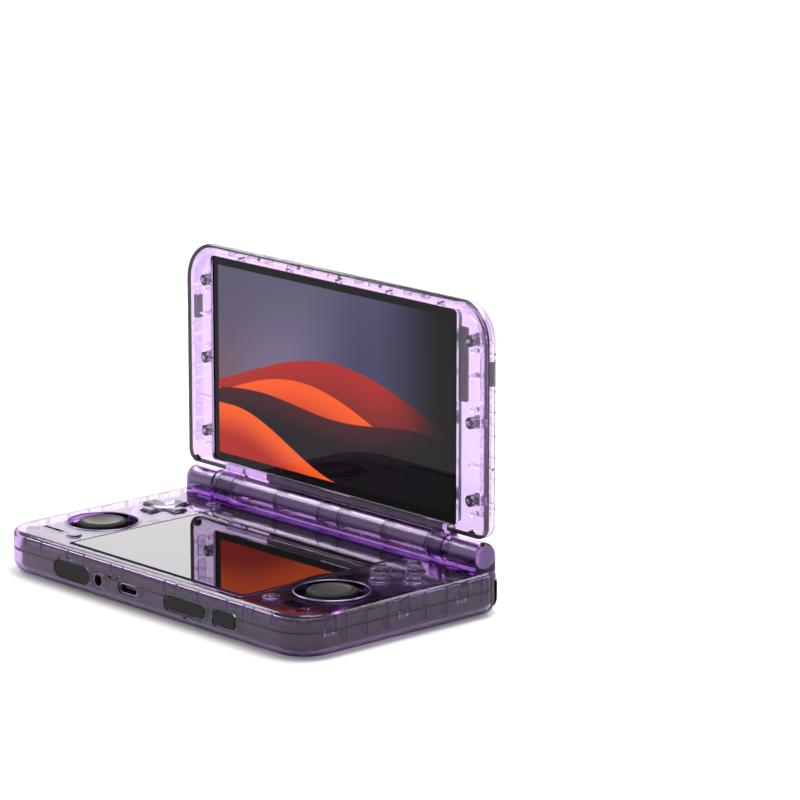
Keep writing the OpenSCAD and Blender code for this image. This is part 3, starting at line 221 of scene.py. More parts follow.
def clear_plastic(name, colour, absorbed, density, roughness, milk=0.0, mirror=0.0):
    """Tinted resin, satin where a face is marked as inside; milk and a mirror film dim it."""
    material = bpy.data.materials.new(name)
    tree = empty_tree(material)
    place = object_place(tree)
    polish = between(tree, mottle(tree, place, 900.0), roughness * 0.85, roughness * 1.15)
    inner = add_node(tree, "ShaderNodeAttribute", attribute_name="inside")
    gloss = {"Factor": inner.outputs["Fac"], "A": polish, "B": SATIN}
    depth = {"Color": (*absorbed, 1), "Density": density}
    skin = {
        "Base Color": (*colour, 1),
        "Metallic": mirror,
        "Transmission Weight": 1.0 - milk,
        "IOR": 1.40,
        "Roughness": add_node(tree, "ShaderNodeMix", gloss).outputs["Result"],
        "Normal": bumps(tree, mottle(tree, place, 120.0), 0.05, 0.0003),
    }
    finish_with(tree, skin, Volume=add_node(tree, "ShaderNodeVolumeAbsorption", depth).outputs[0])
    return material


def shade_smooth(mesh, angle):
    """Round stretches are shaded smooth, and edges sharper than the angle stay crisp."""
    for face in mesh.polygons:
        face.use_smooth = True
    mesh.set_sharp_from_angle(angle=math.radians(angle))


def merged_copy(node, name):
    """The solid of a node as one joined surface."""
    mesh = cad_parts[node].data.copy()
    mesh.name = name
    work = bmesh.new()
    work.from_mesh(mesh)
    bmesh.ops.remove_doubles(work, verts=work.verts, dist=WELD)
    work.to_mesh(mesh)
    work.free()
    if "custom_normal" in mesh.attributes:
        mesh.attributes.remove(mesh.attributes["custom_normal"])
    shade_smooth(mesh, MOULDED_CREASE)
    return add_object(name, mesh)


def mark_inside(mesh, open_way):
    """Satin faces look at their own moulding or out of its open side; the rest are polished."""
    step_off, sight, open_enough = 1e-5, 0.2, 0.3
    work = bmesh.new()
    work.from_mesh(mesh)
    around = BVHTree.FromBMesh(work)
    marks = []
    for face in work.faces:
        start = face.calc_center_median() + face.normal * step_off
        sees_itself = around.ray_cast(start, face.normal, sight)[0] is not None
        marks.append(float(sees_itself or face.normal.dot(Vector(open_way)) > open_enough))
    work.free()
    mesh.attributes.new("inside", "FLOAT", "FACE").data.foreach_set("value", marks)


def dress(node, material, body, open_way=None):
    """A merged copy in its finish takes the node's place."""
    copy = merged_copy(node, node + "_dressed")
    if open_way:
        mark_inside(copy.data, open_way)
    copy.data.materials.clear()
    copy.data.materials.append(material)
    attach(copy, body)
    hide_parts(node)
    return copy


def shade_ribs(copy, on_rib):
    """The faces of the stiffening ribs take a dull, dark skin: painted shade along each rib."""
    copy.data.materials.append(painted_rib_shade)
    for face in copy.data.polygons:
        x, y, z = face.center / MM
        if on_rib(x, y + FRONT_WALL, z):
            face.material_index = 1


def near_mark(value, marks):
    """Whether a place falls on the rib that starts at one of the marks."""
    return any(mark + RIB_SPAN[0] < value < mark + RIB_SPAN[1] for mark in marks)


def base_rib(x, y, z):
    """On the inner faces of the side walls, and high on the inner face of the front wall."""
    side = SIDE_RIBS[0] < abs(x) < SIDE_RIBS[1] and near_mark(y, RIB_MARKS_Y)
    front = FRONT_RIBS[0] < y < FRONT_RIBS[1] and z > RIB_FOOT and near_mark(x, RIB_MARKS_X)
    return side or front


def barrel_rib(x, y, z):
    """Rings inside the barrel, between its two ends."""
    reach = math.hypot(y - (FRONT_WALL + HINGE_Y), z - HINGE_Z)
    return abs(x) < BARREL_RIB_END and reach < BARREL_RIB_RADIUS


base_purple = clear_plastic("base_purple", (0.95, 0.92, 0.98), TINT, BASE_DEPTH, 0.03)
lid_purple = clear_plastic("lid_purple", (0.91, 0.83, 0.97), TINT, LID_DEPTH, 0.03, milk=0.03)
# Painted shade: an opaque, milky dark purple that stands in for the dark lines along the ribs.
painted_rib_shade = clear_plastic("painted_rib_shade", (0.16, 0.08, 0.26), TINT, BASE_DEPTH, 0.3, milk=0.7)
shade_ribs(dress("bottom_shell", base_purple, "base", (0, 0, 1)), base_rib)
shade_ribs(dress("top_shell", base_purple, "base", (0, 0, -1)), base_rib)
dress("hinge_rings", base_purple, "base", (0, 0, 0))
dress("lid_frame", lid_purple, "lid", (0, 1, 0))
dress("lid_cover", lid_purple, "lid", (0, -1, 0))
shade_ribs(dress("lid_barrel", base_purple, "lid", (0, 0, 0)), barrel_rib)


# The dark inner plastic: the middle frame that carries the display, the housings of the
# sticks and the boxes of the speakers. Moulded in black nylon with a spark-eroded face.
def shift_tone(colour, share):
    """A darker or a lighter tone of a colour."""
    return tuple(min(1, part * share) for part in colour)


def colour_between(tree, share, first, second):
    """One colour into another; each is a socket or three numbers."""
    pair = {"Factor": share}
    for socket, tone in (("A", first), ("B", second)):
        pair[socket] = (*tone, 1) if isinstance(tone, tuple) else tone
    return add_node(tree, "ShaderNodeMix", pair, data_type="RGBA").outputs["Result"]


def moulded(name, colour, roughness, grain=1500.0, height=0.1, spread=0.15, shine=0.5):
    """Opaque plastic or rubber with a fine grain in its tone, its gloss and its relief."""
    material = bpy.data.materials.new(name)
    tree = empty_tree(material)
    pits = mottle(tree, object_place(tree), grain, 4.0)
    tones = (shift_tone(colour, 1 - spread), shift_tone(colour, 1 + spread))
    finish_with(tree, {
        "Specular IOR Level": shine,
        "Base Color": colour_between(tree, pits, *tones),
        "Roughness": between(tree, pits, roughness * 0.8, min(1, roughness * 1.2)),
        "Normal": bumps(tree, pits, height, 0.0002),
    })
    return material


nylon = moulded("inner_nylon", (0.014, 0.012, 0.016), 0.5)
dress("mid_frame", nylon, "base")
dress("stick_housings", nylon, "base")
dress("speakers", moulded("speaker_box", (0.02, 0.02, 0.022), 0.4), "base")
for side in ("left", "right"):
    dress("stick_carriage_" + side, nylon, "stick_carriage_" + side)


# The circuit boards: the main board, the two small boards under the keys and the display
# driver at the foot of the lid. Glass fibre under a black mask, with tinned traces and
# black chips soldered on.
CHIP_BLACK = (0.012, 0.012, 0.013)
MAIN_CHIPS_Z, KEY_CHIPS_Z, DRIVER_CHIPS_Y = 0.00825, 0.02, 0.0372
BRUSHED_STRETCH = 0.03
PARTS_A_SQUARE_METRE = 400000.0
TINNED_ENDS = (1.35, 0.9, 0.8)
SMALLEST_PART, LARGEST_PART = (0.6, 0.6, 0.7), (1.5, 1.3, 1.15)
MAIN_BOARD_TOP, KEY_BOARD_TOP = 8.2, 9.4
# Where small parts are crowded on the main board: left, right, front and back.
MAIN_PATCHES = (
    (-40, -28, 22, 50), (-2, 40, 8, 26), (-9, 28, 46, 64), (1, 40, 57, 74), (-18, -14, 14, 28),
)
KEY_PATCH_X, KEY_PATCH_Y = (52.5, 62.5), (66.6, 71.4)


def circuit_board(name, chips_axis, chips_from, chips_above):
    """Board finish; chips stand past a height along one axis and are told apart by it."""
    material = bpy.data.materials.new(name)
    tree = empty_tree(material)
    place = object_place(tree)
    split = add_node(tree, "ShaderNodeSeparateXYZ", {0: place})
    tracks = add_node(tree, "ShaderNodeTexBrick", {
        "Vector": place,
        "Scale": 260.0,
        "Mortar Size": 0.03,
        "Brick Width": 1.9,
        "Row Height": 0.24,
        "Color1": (0.012, 0.020, 0.018, 1),
        "Color2": (0.016, 0.026, 0.023, 1),
        "Mortar": (0.10, 0.12, 0.10, 1),
    }).outputs
    past = "GREATER_THAN" if chips_above else "LESS_THAN"
    chip = maths(tree, past, split.outputs[chips_axis], chips_from)
    finish_with(tree, {
        "Base Color": colour_between(tree, chip, tracks["Color"], CHIP_BLACK),
        "Roughness": between(tree, chip, 0.28, 0.55),
        "Normal": bumps(tree, tracks["Fac"], 0.3, 0.00005),
    })
    return material


def metal(name, colour, roughness, brushed=0.0, grain=2500.0):
    """Bare metal with fine roll marks; brushed metal has them drawn out along X."""
    material = bpy.data.materials.new(name)
    tree = empty_tree(material)
    along = BRUSHED_STRETCH if brushed else 1.0
    drawn = {"Vector": object_place(tree), "Scale": (along, 1.0, 1.0)}
    stretched = add_node(tree, "ShaderNodeMapping", drawn).outputs["Vector"]
    marks = mottle(tree, stretched, grain, 3.0)
    tones = (shift_tone(colour, 0.86), shift_tone(colour, 1.12))
    finish_with(tree, {
        "Metallic": 1.0,
        "Anisotropic": brushed,
        "Base Color": colour_between(tree, marks, *tones),
        "Roughness": between(tree, marks, roughness * 0.7, roughness * 1.3),
    })
    return material


def open_tree(name, source, sizes, seed, finishes, result):
    """A node tree with named inputs: what it grows on, sizes in metres, a seed and finishes."""
    tree = bpy.data.node_groups.new(name, "GeometryNodeTree")

    def socket(label, kind, way="INPUT"):
        return tree.interface.new_socket(label, in_out=way, socket_type="NodeSocket" + kind)

    socket(source, "Geometry")
    for label, value in sizes.items():
        socket(label, "Float").default_value = value
    socket("Seed", "Int").default_value = seed
    for label in finishes:
        socket(label, "Material")
    socket(result, "Geometry", "OUTPUT")
    return tree, add_node(tree, "NodeGroupInput").outputs


def vector_of(tree, parts):
    """Up to three numbers along X, Y and Z as one; those left out are zero."""
    return add_node(tree, "ShaderNodeCombineXYZ", parts).outputs[0]


def by_chance(tree, kind, seed, low, high):
    """A random value of one kind, the same on every run."""
    draw = {"Min": low, "Max": high, "Seed": seed}
    node = add_node(tree, "FunctionNodeRandomValue", draw, data_type=kind)
    carried = {"INT": "INT", "FLOAT": "VALUE", "FLOAT_VECTOR": "VECTOR"}[kind]
    return [output for output in node.outputs if output.type == carried][0]


def painted(tree, geometry, material, **only):
    """The shape in a finish, or only the selected part of it."""
    given = {"Geometry": geometry, "Material": material, **only}
    return add_node(tree, "GeometryNodeSetMaterial", given).outputs["Geometry"]


def realized(tree, points, shape, **turned):
    """The shape set on every point, as real mesh."""
    given = {"Points": points, "Instance": shape, **turned}
    copies = add_node(tree, "GeometryNodeInstanceOnPoints", given).outputs["Instances"]
    return add_node(tree, "GeometryNodeRealizeInstances", {"Geometry": copies}).outputs[0]


def joined(tree, *shapes):
    """Several shapes as one."""
    whole = add_node(tree, "GeometryNodeJoinGeometry")
    for shape in shapes:
        tree.links.new(shape, whole.inputs[0])
    return whole.outputs[0]


def moved(tree, shape, **how):
    """A shape shifted or turned."""
    return add_node(tree, "GeometryNodeTransform", {"Geometry": shape, **how}).outputs["Geometry"]


def part_scatter():
    """Small soldered parts on a board: a dark body between two tinned ends."""
    sizes = {"Spacing": 0.0018, "Length": 0.0011, "Width": 0.0006, "Height": 0.0004}
    tree, given = open_tree("part_scatter", "Board", sizes, 4, ("Body", "Tin"), "Parts")
    size = vector_of(tree, {0: given["Length"], 1: given["Width"], 2: given["Height"]})
    block = add_node(tree, "GeometryNodeMeshCube", {"Size": size})
    longer = {0: size, 1: TINNED_ENDS}
    ends_size = add_node(tree, "ShaderNodeVectorMath", longer, operation="MULTIPLY").outputs[0]
    ends = add_node(tree, "GeometryNodeMeshCube", {"Size": ends_size})
    flag = add_node(tree, "GeometryNodeStoreNamedAttribute", {
        "Geometry": ends.outputs["Mesh"],
        "Name": "tinned",
        "Value": True,
    }, data_type="BOOLEAN", domain="FACE")
    part = joined(tree, block.outputs["Mesh"], flag.outputs["Geometry"])
    lift = vector_of(tree, {2: maths(tree, "MULTIPLY", given["Height"], 0.5)})
    seated = moved(tree, part, Translation=lift)
    spots = add_node(tree, "GeometryNodeDistributePointsOnFaces", {
        "Mesh": given["Board"],
        "Distance Min": given["Spacing"],
        "Density Max": PARTS_A_SQUARE_METRE,
        "Seed": given["Seed"],
    }, distribute_method="POISSON")
    quarter = by_chance(tree, "INT", given["Seed"], 0, 1)
    turn = vector_of(tree, {2: maths(tree, "MULTIPLY", quarter, math.pi / 2)})
    spread = by_chance(tree, "FLOAT_VECTOR", given["Seed"], SMALLEST_PART, LARGEST_PART)
    real = realized(tree, spots.outputs["Points"], seated, Rotation=turn, Scale=spread)
    kept = {"Name": "tinned"}
    named = add_node(tree, "GeometryNodeInputNamedAttribute", kept, data_type="BOOLEAN")
    tinned = [output for output in named.outputs if output.type == "BOOLEAN"][0]
    dark = painted(tree, real, given["Body"])
    add_node(tree, "NodeGroupOutput", {0: painted(tree, dark, given["Tin"], Selection=tinned)})
    return tree


def add_piece(name, mesh, body):
    """A piece that the solids don't have: it rides on a body."""
    piece = add_object(name, mesh)
    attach(piece, body)
    return piece


def grow(name, seed_mesh, tree, values, body):
    """Run a node tree on a mesh of places and keep what it makes as one plain mesh."""
    source = add_object(name + "_places", seed_mesh)
    growth = source.modifiers.new("growth", "NODES")
    growth.node_group = tree
    for socket in tree.interface.items_tree:
        if socket.in_out == "INPUT" and socket.name in values:
            growth[socket.identifier] = values[socket.name]
    ready = source.evaluated_get(bpy.context.evaluated_depsgraph_get())
    mesh = bpy.data.meshes.new_from_object(ready)
    mesh.name = name
    source.modifiers.remove(growth)
    bpy.data.objects.remove(source)
    add_piece(name, mesh, body)


def patches(name, places, height):
    """Flat patches on a board; each is left, right, front and back in millimetres."""
    corners, faces = [], []
    for left, right, front, back in places:
        start = len(corners)
        square = ((left, front), (right, front), (right, back), (left, back))
        corners += [(x * MM, (y - FRONT_WALL) * MM, height * MM) for x, y in square]
        faces.append(tuple(range(start, start + 4)))
    mesh = bpy.data.meshes.new(name)
    mesh.from_pydata(corners, [], faces)
    return mesh


dress("main_board", circuit_board("main_board_mask", 2, MAIN_CHIPS_Z, True), "base")
dress("button_boards", circuit_board("key_board_mask", 2, KEY_CHIPS_Z, True), "base")
dress("lid_board", circuit_board("driver_board_mask", 1, DRIVER_CHIPS_Y, False), "lid")
part_body = moulded("soldered_part", (0.03, 0.022, 0.018), 0.4, height=0.02)
tin = metal("tin", (0.62, 0.62, 0.60), 0.3)
scatter = part_scatter()
main_parts = {"Seed": 7, "Body": part_body, "Tin": tin}
main_places = patches("main_patches", MAIN_PATCHES, MAIN_BOARD_TOP)
grow("main_board_parts", main_places, scatter, main_parts, "base")
key_patches = [(*[side * x for x in KEY_PATCH_X], *KEY_PATCH_Y) for side in (-1, 1)]
key_parts = {
    "Seed": 11, "Spacing": 0.0015, "Length": 0.0009, "Width": 0.0005, "Body": part_body, "Tin": tin,
}
key_places = patches("key_patches", key_patches, KEY_BOARD_TOP)
grow("key_board_parts", key_places, scatter, key_parts, "base")


# Power and cooling: the wrapped battery pack, the flat blower with its rotor, the copper
# fins behind it and the slanted grille in the rear wall.
wrap = moulded("battery_wrap", (0.035, 0.035, 0.04), 0.3, grain=400.0, height=0.05)
dress("battery", wrap, "base")
dress("fan_housing", moulded("blower_case", (0.03, 0.03, 0.033), 0.4), "base")
dress("fan_rotor", moulded("rotor_plastic", (0.022, 0.022, 0.024), 0.35), "fan_rotor")
dress("heat_sink", metal("copper_sheet", (0.60, 0.33, 0.22), 0.35, brushed=0.5), "base")
dress("vent_grille", moulded("grille_plastic", (0.012, 0.012, 0.013), 0.3), "base")


# The sockets in the front wall: the card cage, the audio jack with its plated ring and
# the charging port, a drawn steel shell round a black tongue.
JACK_PLACE = (-22.6, -FRONT_WALL + 0.02, 7.0)
JACK_RING = (
    (1.86, 0.12), (1.95, 0.05), (2.35, 0.03), (2.6, 0.1), (2.66, 0.25), (2.5, 0.4), (1.95, 0.4),
    (1.84, 0.3), (1.86, 0.12),
)
TONGUE_X, TONGUE_Z = -0.0077, 0.007
TONGUE_HALF_WIDTH, TONGUE_HALF_HEIGHT = 0.0034, 0.0004
TURNED_CREASE = 50
RING_WELD = 1e-5


def finished_mesh(name, work, place=Matrix.Identity(4), smooth=True):
    """A worked shape with its faces turned outward, in its place, as a mesh."""
    bmesh.ops.recalc_face_normals(work, faces=work.faces)
    work.transform(place)
    mesh = bpy.data.meshes.new(name)
    work.to_mesh(mesh)
    work.free()
    if smooth:
        shade_smooth(mesh, TURNED_CREASE)
    return mesh


def lathe(name, profile, steps, place, axis="Z", ridge=None):
    """A turned shape about an axis, Z or Y; its (radius, height) points are in millimetres."""
    work = bmesh.new()
    rings = []
    for radius, height in profile:
        if radius == 0:
            rings.append([work.verts.new((0, 0, height))])
            continue
        ring = []
        for step in range(steps):
            angle = 2 * math.pi * step / steps
            reach = radius - (ridge(angle, radius, height) if ridge else 0)
            ring.append(work.verts.new((reach * math.cos(angle), reach * math.sin(angle), height)))
        rings.append(ring)
    for low, high in zip(rings, rings[1:]):
        for i in range(steps):
            j = (i + 1) % steps
            corners = (
                low[i % len(low)], low[j % len(low)], high[j % len(high)], high[i % len(high)],
            )
            work.faces.new(list(dict.fromkeys(corners)))
    bmesh.ops.remove_doubles(work, verts=work.verts, dist=RING_WELD)
    upright = {"Z": Matrix.Identity(4), "Y": Matrix.Rotation(-math.pi / 2, 4, "X")}[axis]
    return finished_mesh(name, work, Matrix.Scale(MM, 4) @ Matrix.Translation(place) @ upright)


def piece_of(name, mesh, material, body):
    """A small extra piece in its finish."""
    mesh.materials.append(material)
    return add_piece(name, mesh, body)


dress("card_socket", metal("cage_steel", (0.34, 0.34, 0.36), 0.35, brushed=0.4), "base")
socket_black = moulded("socket_black", (0.010, 0.010, 0.011), 0.35)
dress("audio_jack", socket_black, "base")
plating = metal("plated_ring", (0.12, 0.09, 0.17), 0.3)
jack_ring = lathe("jack_ring", JACK_RING, 64, JACK_PLACE, "Y")
piece_of("jack_ring", jack_ring, plating, "base")
port = dress("usb_port", metal("port_shell", (0.32, 0.27, 0.38), 0.3), "base")
port.data.materials.append(socket_black)
for face in port.data.polygons:
    level = abs(face.center.z - TONGUE_Z) < TONGUE_HALF_HEIGHT
    if level and abs(face.center.x - TONGUE_X) < TONGUE_HALF_WIDTH:
        face.material_index = 1


# The hinge: a sprung steel cartridge in each lobe with its pin in the end of the barrel,
# and the rolled flexible circuit that runs through the barrel into the lid.
ROLL_TURNS, ROLL_SAMPLES = 2.4, 96
ROLL_LENGTH, ROLL_THICKNESS = 92.0, 0.18
ROLL_START, ROLL_PITCH = 1.15, 0.42


def rolled_circuit():
    """A flexible circuit in a loose roll, seen as a spiral from its end."""
    work = bmesh.new()
    rows = []
    for offset in (0.0, ROLL_THICKNESS):
        for x in (-ROLL_LENGTH / 2, ROLL_LENGTH / 2):
            row = []
            for i in range(ROLL_SAMPLES + 1):
                angle = 2 * math.pi * ROLL_TURNS * i / ROLL_SAMPLES
                radius = ROLL_START + ROLL_PITCH * angle / (2 * math.pi) + offset
                y, z = HINGE_Y + radius * math.cos(angle), HINGE_Z + radius * math.sin(angle)
                row.append(work.verts.new((x, y, z)))
            rows.append(row)
    inner_left, inner_right, outer_left, outer_right = rows
    sheets = (
        (inner_left, inner_right), (outer_right, outer_left),
        (inner_left, outer_left), (outer_right, inner_right),
    )
    for a, b in sheets:
        for i in range(ROLL_SAMPLES):
            work.faces.new((a[i], a[i + 1], b[i + 1], b[i]))
    for i in (0, ROLL_SAMPLES):
        work.faces.new((inner_left[i], inner_right[i], outer_right[i], outer_left[i]))
    return finished_mesh("hinge_circuit", work, Matrix.Scale(MM, 4))


steel = metal("drawn_steel", (0.58, 0.58, 0.60), 0.25)
dress("hinge_cores", metal("dark_steel", (0.18, 0.15, 0.23), 0.35), "base")
dress("shoulder_pins", steel, "base")
film = moulded("violet_film", (0.20, 0.13, 0.29), 0.5, grain=600.0, height=0.05, shine=0.2)
piece_of("hinge_circuit", rolled_circuit(), film, "lid")


# Screws: six black plated ones through the floor of the base, six bright ones in the back
# of the lid, and the tiny black ones that hold the plate behind the display.
SLOT_RISE = 0.6
MOST_TURN = 1.5
PLATE_BACK = 0.03935
PLATE_SCREWS = {-59.5: (14.1, 18.4, 30.8, 43.2, 47.7, 64.7, 68.1), 59.7: (50.5, 70.0)}


def screw_row():
    """A low head with a crossed slot at each point, turned by chance about its axis."""
    sizes = {"Head Radius": 0.0009, "Head Height": 0.0004, "Slot Width": 0.0002}
    tree, given = open_tree("screw_row", "Points", sizes, 3, ("Finish",), "Screws")
    radius, height = given["Head Radius"], given["Head Height"]
    blank = {"Vertices": 24, "Radius": radius, "Depth": height}
    head = add_node(tree, "GeometryNodeMeshCylinder", blank).outputs["Mesh"]
    bars = []
    for length in (0, 1):
        size = vector_of(tree, {length: radius, 1 - length: given["Slot Width"], 2: height})
        bars.append(add_node(tree, "GeometryNodeMeshCube", {"Size": size}).outputs["Mesh"])
    sunk = vector_of(tree, {2: maths(tree, "MULTIPLY", height, SLOT_RISE)})
    cut = {"Mesh 1": head, "Mesh 2": moved(tree, joined(tree, *bars), Translation=sunk)}
    slotted = add_node(tree, "GeometryNodeMeshBoolean", cut, operation="DIFFERENCE")
    facing = moved(tree, slotted.outputs["Mesh"], Rotation=(-math.pi / 2, 0, 0))
    turn = vector_of(tree, {1: by_chance(tree, "FLOAT", given["Seed"], 0.0, MOST_TURN)})
    real = realized(tree, given["Points"], facing, Rotation=turn)
    add_node(tree, "NodeGroupOutput", {0: painted(tree, real, given["Finish"])})
    return tree


black_screw = metal("black_screw", (0.10, 0.10, 0.11), 0.3)
dress("base_screws", black_screw, "base")
dress("lid_screws", metal("bright_screw", (0.48, 0.42, 0.56), 0.55), "lid")
screw_points = bpy.data.meshes.new("plate_screw_places")
screw_points.from_pydata([
    (x * MM, PLATE_BACK, (HINGE_Z + height) * MM)
    for x, heights in PLATE_SCREWS.items() for height in heights
], [], [])
grow("plate_screws", screw_points, screw_row(), {"Finish": black_screw}, "lid")


# Rubber: four round feet in the floor of the base, and two small bumpers in the foot of
# the lid.
rubber = moulded("soft_rubber", (0.015, 0.015, 0.017), 0.7, grain=2600.0, height=0.25)
dress("feet", rubber, "base")
dress("lid_bumpers", rubber, "lid")


# The displays: each a dark panel behind a sheet of black bordered cover glass with ground
# and polished edges. The upper one is lit and shows a plain picture of layered dunes; the
# lower one is off and only mirrors.
LIT_LEFT, LIT_RIGHT, LIT_LOW, LIT_HIGH = -0.05662, 0.05662, 0.0297, 0.0934
LIT_FRONT = 0.0364
LIT_MARGIN = 0.0001
DUNE_LINE = 0.003
DUNE_FADE, HOLLOW_FADE, NEAR_FADE = 0.26, 0.16, 0.20
GROUND_EDGE = 0.15
GROUND_FROM = 50
CORNER_STEPS = 8
# Left, right, front, rear and the radius of the corners.
SEAL_OUTSIDE = (-43.08, 43.08, -39.58, 29.18, 1.55)
SEAL_INSIDE = (-43.08 + 0.5, 43.08 - 1.5, -39.58 + 1.9, 29.18 - 0.5, 1.2)
SEAL_SECTION = (
    (0.0, 14.46), (0.0, 14.52), (0.08, 14.55), (0.92, 14.55), (1.0, 14.52), (1.0, 14.46),
)
FILM_FACES = (37.22, 37.28)
FILM_OUTLINE = (
    (-33, 22.9), (52, 22.9), (52, 26.2), (44, 26.2), (44, 26.7), (8, 26.7), (8, 26.1), (-6, 26.1),
    (-6, 26.7), (-33, 26.7),
)


def cover_glass(name, bending, mirror, picture=None):
    """Black glass with a faint haze, wiped clean in places; a picture lights it from behind."""
    material = bpy.data.materials.new(name)
    tree = empty_tree(material)
    place = object_place(tree)
    skin = {
        "Base Color": (0.003, 0.003, 0.0035, 1),
        "IOR": bending,
        "Specular IOR Level": mirror,
        "Roughness": between(tree, mottle(tree, place, 60.0, 3.0), 0.010, 0.035),
    }
    if picture:
        skin["Emission Color"], skin["Emission Strength"] = picture(tree, place)
    finish_with(tree, skin)
    return material


def dune_picture(tree, place):
    """Layered dunes under a violet sky that goes dark to the right, over the lit area."""
    def sums(operation, *values):
        return maths(tree, operation, *values)

    def ramp(value, start, stop, rise="SMOOTHSTEP"):
        span = {0: value, 1: start, 2: stop}
        return add_node(tree, "ShaderNodeMapRange", span, interpolation_type=rise).outputs[0]

    def blend(share, first, second):
        return colour_between(tree, share, first, second)

    def dune(behind, line, fade, shade, crest):
        """A dune under a line, in front of what is behind it and darker lower down."""
        under = sums("SUBTRACT", line, height)
        body = blend(ramp(under, fade, 0.0), shade, crest)
        return blend(ramp(under, -DUNE_LINE, DUNE_LINE), behind, body)

    split = add_node(tree, "ShaderNodeSeparateXYZ", {0: place}).outputs
    across = ramp(split["X"], LIT_LEFT, LIT_RIGHT, "LINEAR")
    height = ramp(split["Z"], LIT_LOW, LIT_HIGH, "LINEAR")
    shown = blend(ramp(across, 0.0, 0.22), (0.24, 0.11, 0.13), (0.20, 0.16, 0.27))
    shown = blend(ramp(across, 0.25, 0.62), shown, (0.055, 0.050, 0.115))
    slant = sums("SUBTRACT", height, across)
    shown = blend(ramp(slant, -0.1, 0.9), shown, (0.10, 0.085, 0.155))
    waves = (
        (0.47, 0.15, 4.2, -0.55, (0.20, 0.012, 0.012), (0.42, 0.020, 0.016)),
        (0.33, 0.15, 4.6, -0.05, (0.42, 0.016, 0.010), (0.95, 0.105, 0.014)),
        (0.24, 0.11, 5.6, 1.70, (0.26, 0.010, 0.008), (0.80, 0.050, 0.010)),
        (0.12, 0.09, 4.9, -0.80, (0.50, 0.022, 0.008), (1.00, 0.205, 0.022)),
    )
    for level, swing, turns, shift, shade, crest in waves:
        wave = sums("SINE", sums("MULTIPLY_ADD", across, turns, shift))
        shown = dune(shown, sums("MULTIPLY_ADD", wave, swing, level), DUNE_FADE, shade, crest)
    ripple = sums("SINE", sums("MULTIPLY", across, 9.0))
    hollow = sums("MULTIPLY_ADD", ripple, 0.025, 0.29)
    hollow = sums("MULTIPLY_ADD", ramp(across, -0.05, 0.02), 0.06, hollow)
    shown = dune(shown, hollow, HOLLOW_FADE, (0.006, 0.002, 0.006), (0.060, 0.006, 0.012))
    near = sums("MULTIPLY_ADD", ramp(across, 0.06, 0.56), -0.275, 0.268)
    shown = dune(shown, near, NEAR_FADE, (0.42, 0.016, 0.010), (0.95, 0.115, 0.016))
    shown = blend(ramp(across, 0.66, 0.97), shown, (0.0025, 0.0025, 0.004))
    inside = sums("LESS_THAN", split["Y"], LIT_FRONT)
    for reach in (across, height):
        inside = sums("MULTIPLY", inside, sums("GREATER_THAN", reach, LIT_MARGIN))
        inside = sums("MULTIPLY", inside, sums("LESS_THAN", reach, 1 - LIT_MARGIN))
    return shown, inside


def ground_edge(piece, width):
    """A fine chamfer that catches the light along every sharp edge."""
    edge = piece.modifiers.new("ground_edge", "BEVEL")
    edge.width = width * MM
    edge.segments = 2
    edge.limit_method = "ANGLE"
    edge.angle_limit = math.radians(GROUND_FROM)


def rounded_outline(left, right, front, rear, radius):
    """A rectangle with rounded corners, as points in millimetres."""
    centres = (
        (right - radius, rear - radius), (left + radius, rear - radius),
        (left + radius, front + radius), (right - radius, front + radius),
    )
    points = []
    for corner, (x, y) in enumerate(centres):
        for step in range(CORNER_STEPS + 1):
            angle = math.radians(90 * corner + 90 * step / CORNER_STEPS)
            points.append((x + radius * math.cos(angle), y + radius * math.sin(angle)))
    return points


def glass_seal():
    """A flat black bead that closes the gap round the lower glass, broadest in front."""
    outer, inner = rounded_outline(*SEAL_OUTSIDE), rounded_outline(*SEAL_INSIDE)
    work = bmesh.new()
    rows = []
    for share, height in SEAL_SECTION:
        row = []
        for (xo, yo), (xi, yi) in zip(outer, inner):
            x, y = xo + (xi - xo) * share, yo + (yi - yo) * share
            row.append(work.verts.new((x * MM, y * MM, height * MM)))
        rows.append(row)
    for low, high in zip(rows, rows[1:] + rows[:1]):
        for i in range(len(low)):
            j = (i + 1) % len(low)
            work.faces.new((low[i], low[j], high[j], high[i]))
    return finished_mesh("glass_seal", work, smooth=False)


def driver_film():
    """The display's black tail with its stepped edge, laid flat behind the lid's foot."""
    work = bmesh.new()
    front, back = [
        [work.verts.new((x * MM, y * MM, z * MM)) for x, z in FILM_OUTLINE] for y in FILM_FACES
    ]
    work.faces.new(front)
    work.faces.new(back[::-1])
    for i in range(len(front)):
        j = (i + 1) % len(front)
        work.faces.new((front[i], front[j], back[j], back[i]))
    return finished_mesh("driver_film", work, smooth=False)


lit_glass = cover_glass("upper_cover_glass", 1.45, 0.16, dune_picture)
ground_edge(dress("upper_glass", lit_glass, "lid"), GROUND_EDGE)
ground_edge(dress("lower_glass", cover_glass("lower_cover_glass", 1.7, 0.5), "base"), GROUND_EDGE)
seal_black = moulded("seal_bead", (0.010, 0.006, 0.016), 0.85, height=0.05, shine=0.05)
piece_of("glass_seal", glass_seal(), seal_black, "base")
panel_black = moulded("panel_backing", (0.02, 0.02, 0.024), 0.3, height=0.02)
dress("upper_display", panel_black, "lid")
dress("lower_display", panel_black, "base")
dress("lid_backplate", metal("brushed_plate", (0.11, 0.10, 0.125), 0.38, brushed=0.6), "lid")
tail_black = moulded("tail_film", (0.016, 0.010, 0.024), 0.4, grain=500.0, spread=0.8, shine=0.3)
piece_of("driver_film", driver_film(), tail_black, "lid")
magnet_coat = moulded("magnet_coat", (0.006, 0.006, 0.007), 0.5, height=0.02, shine=0.1)
dress("lid_magnets", magnet_coat, "lid")


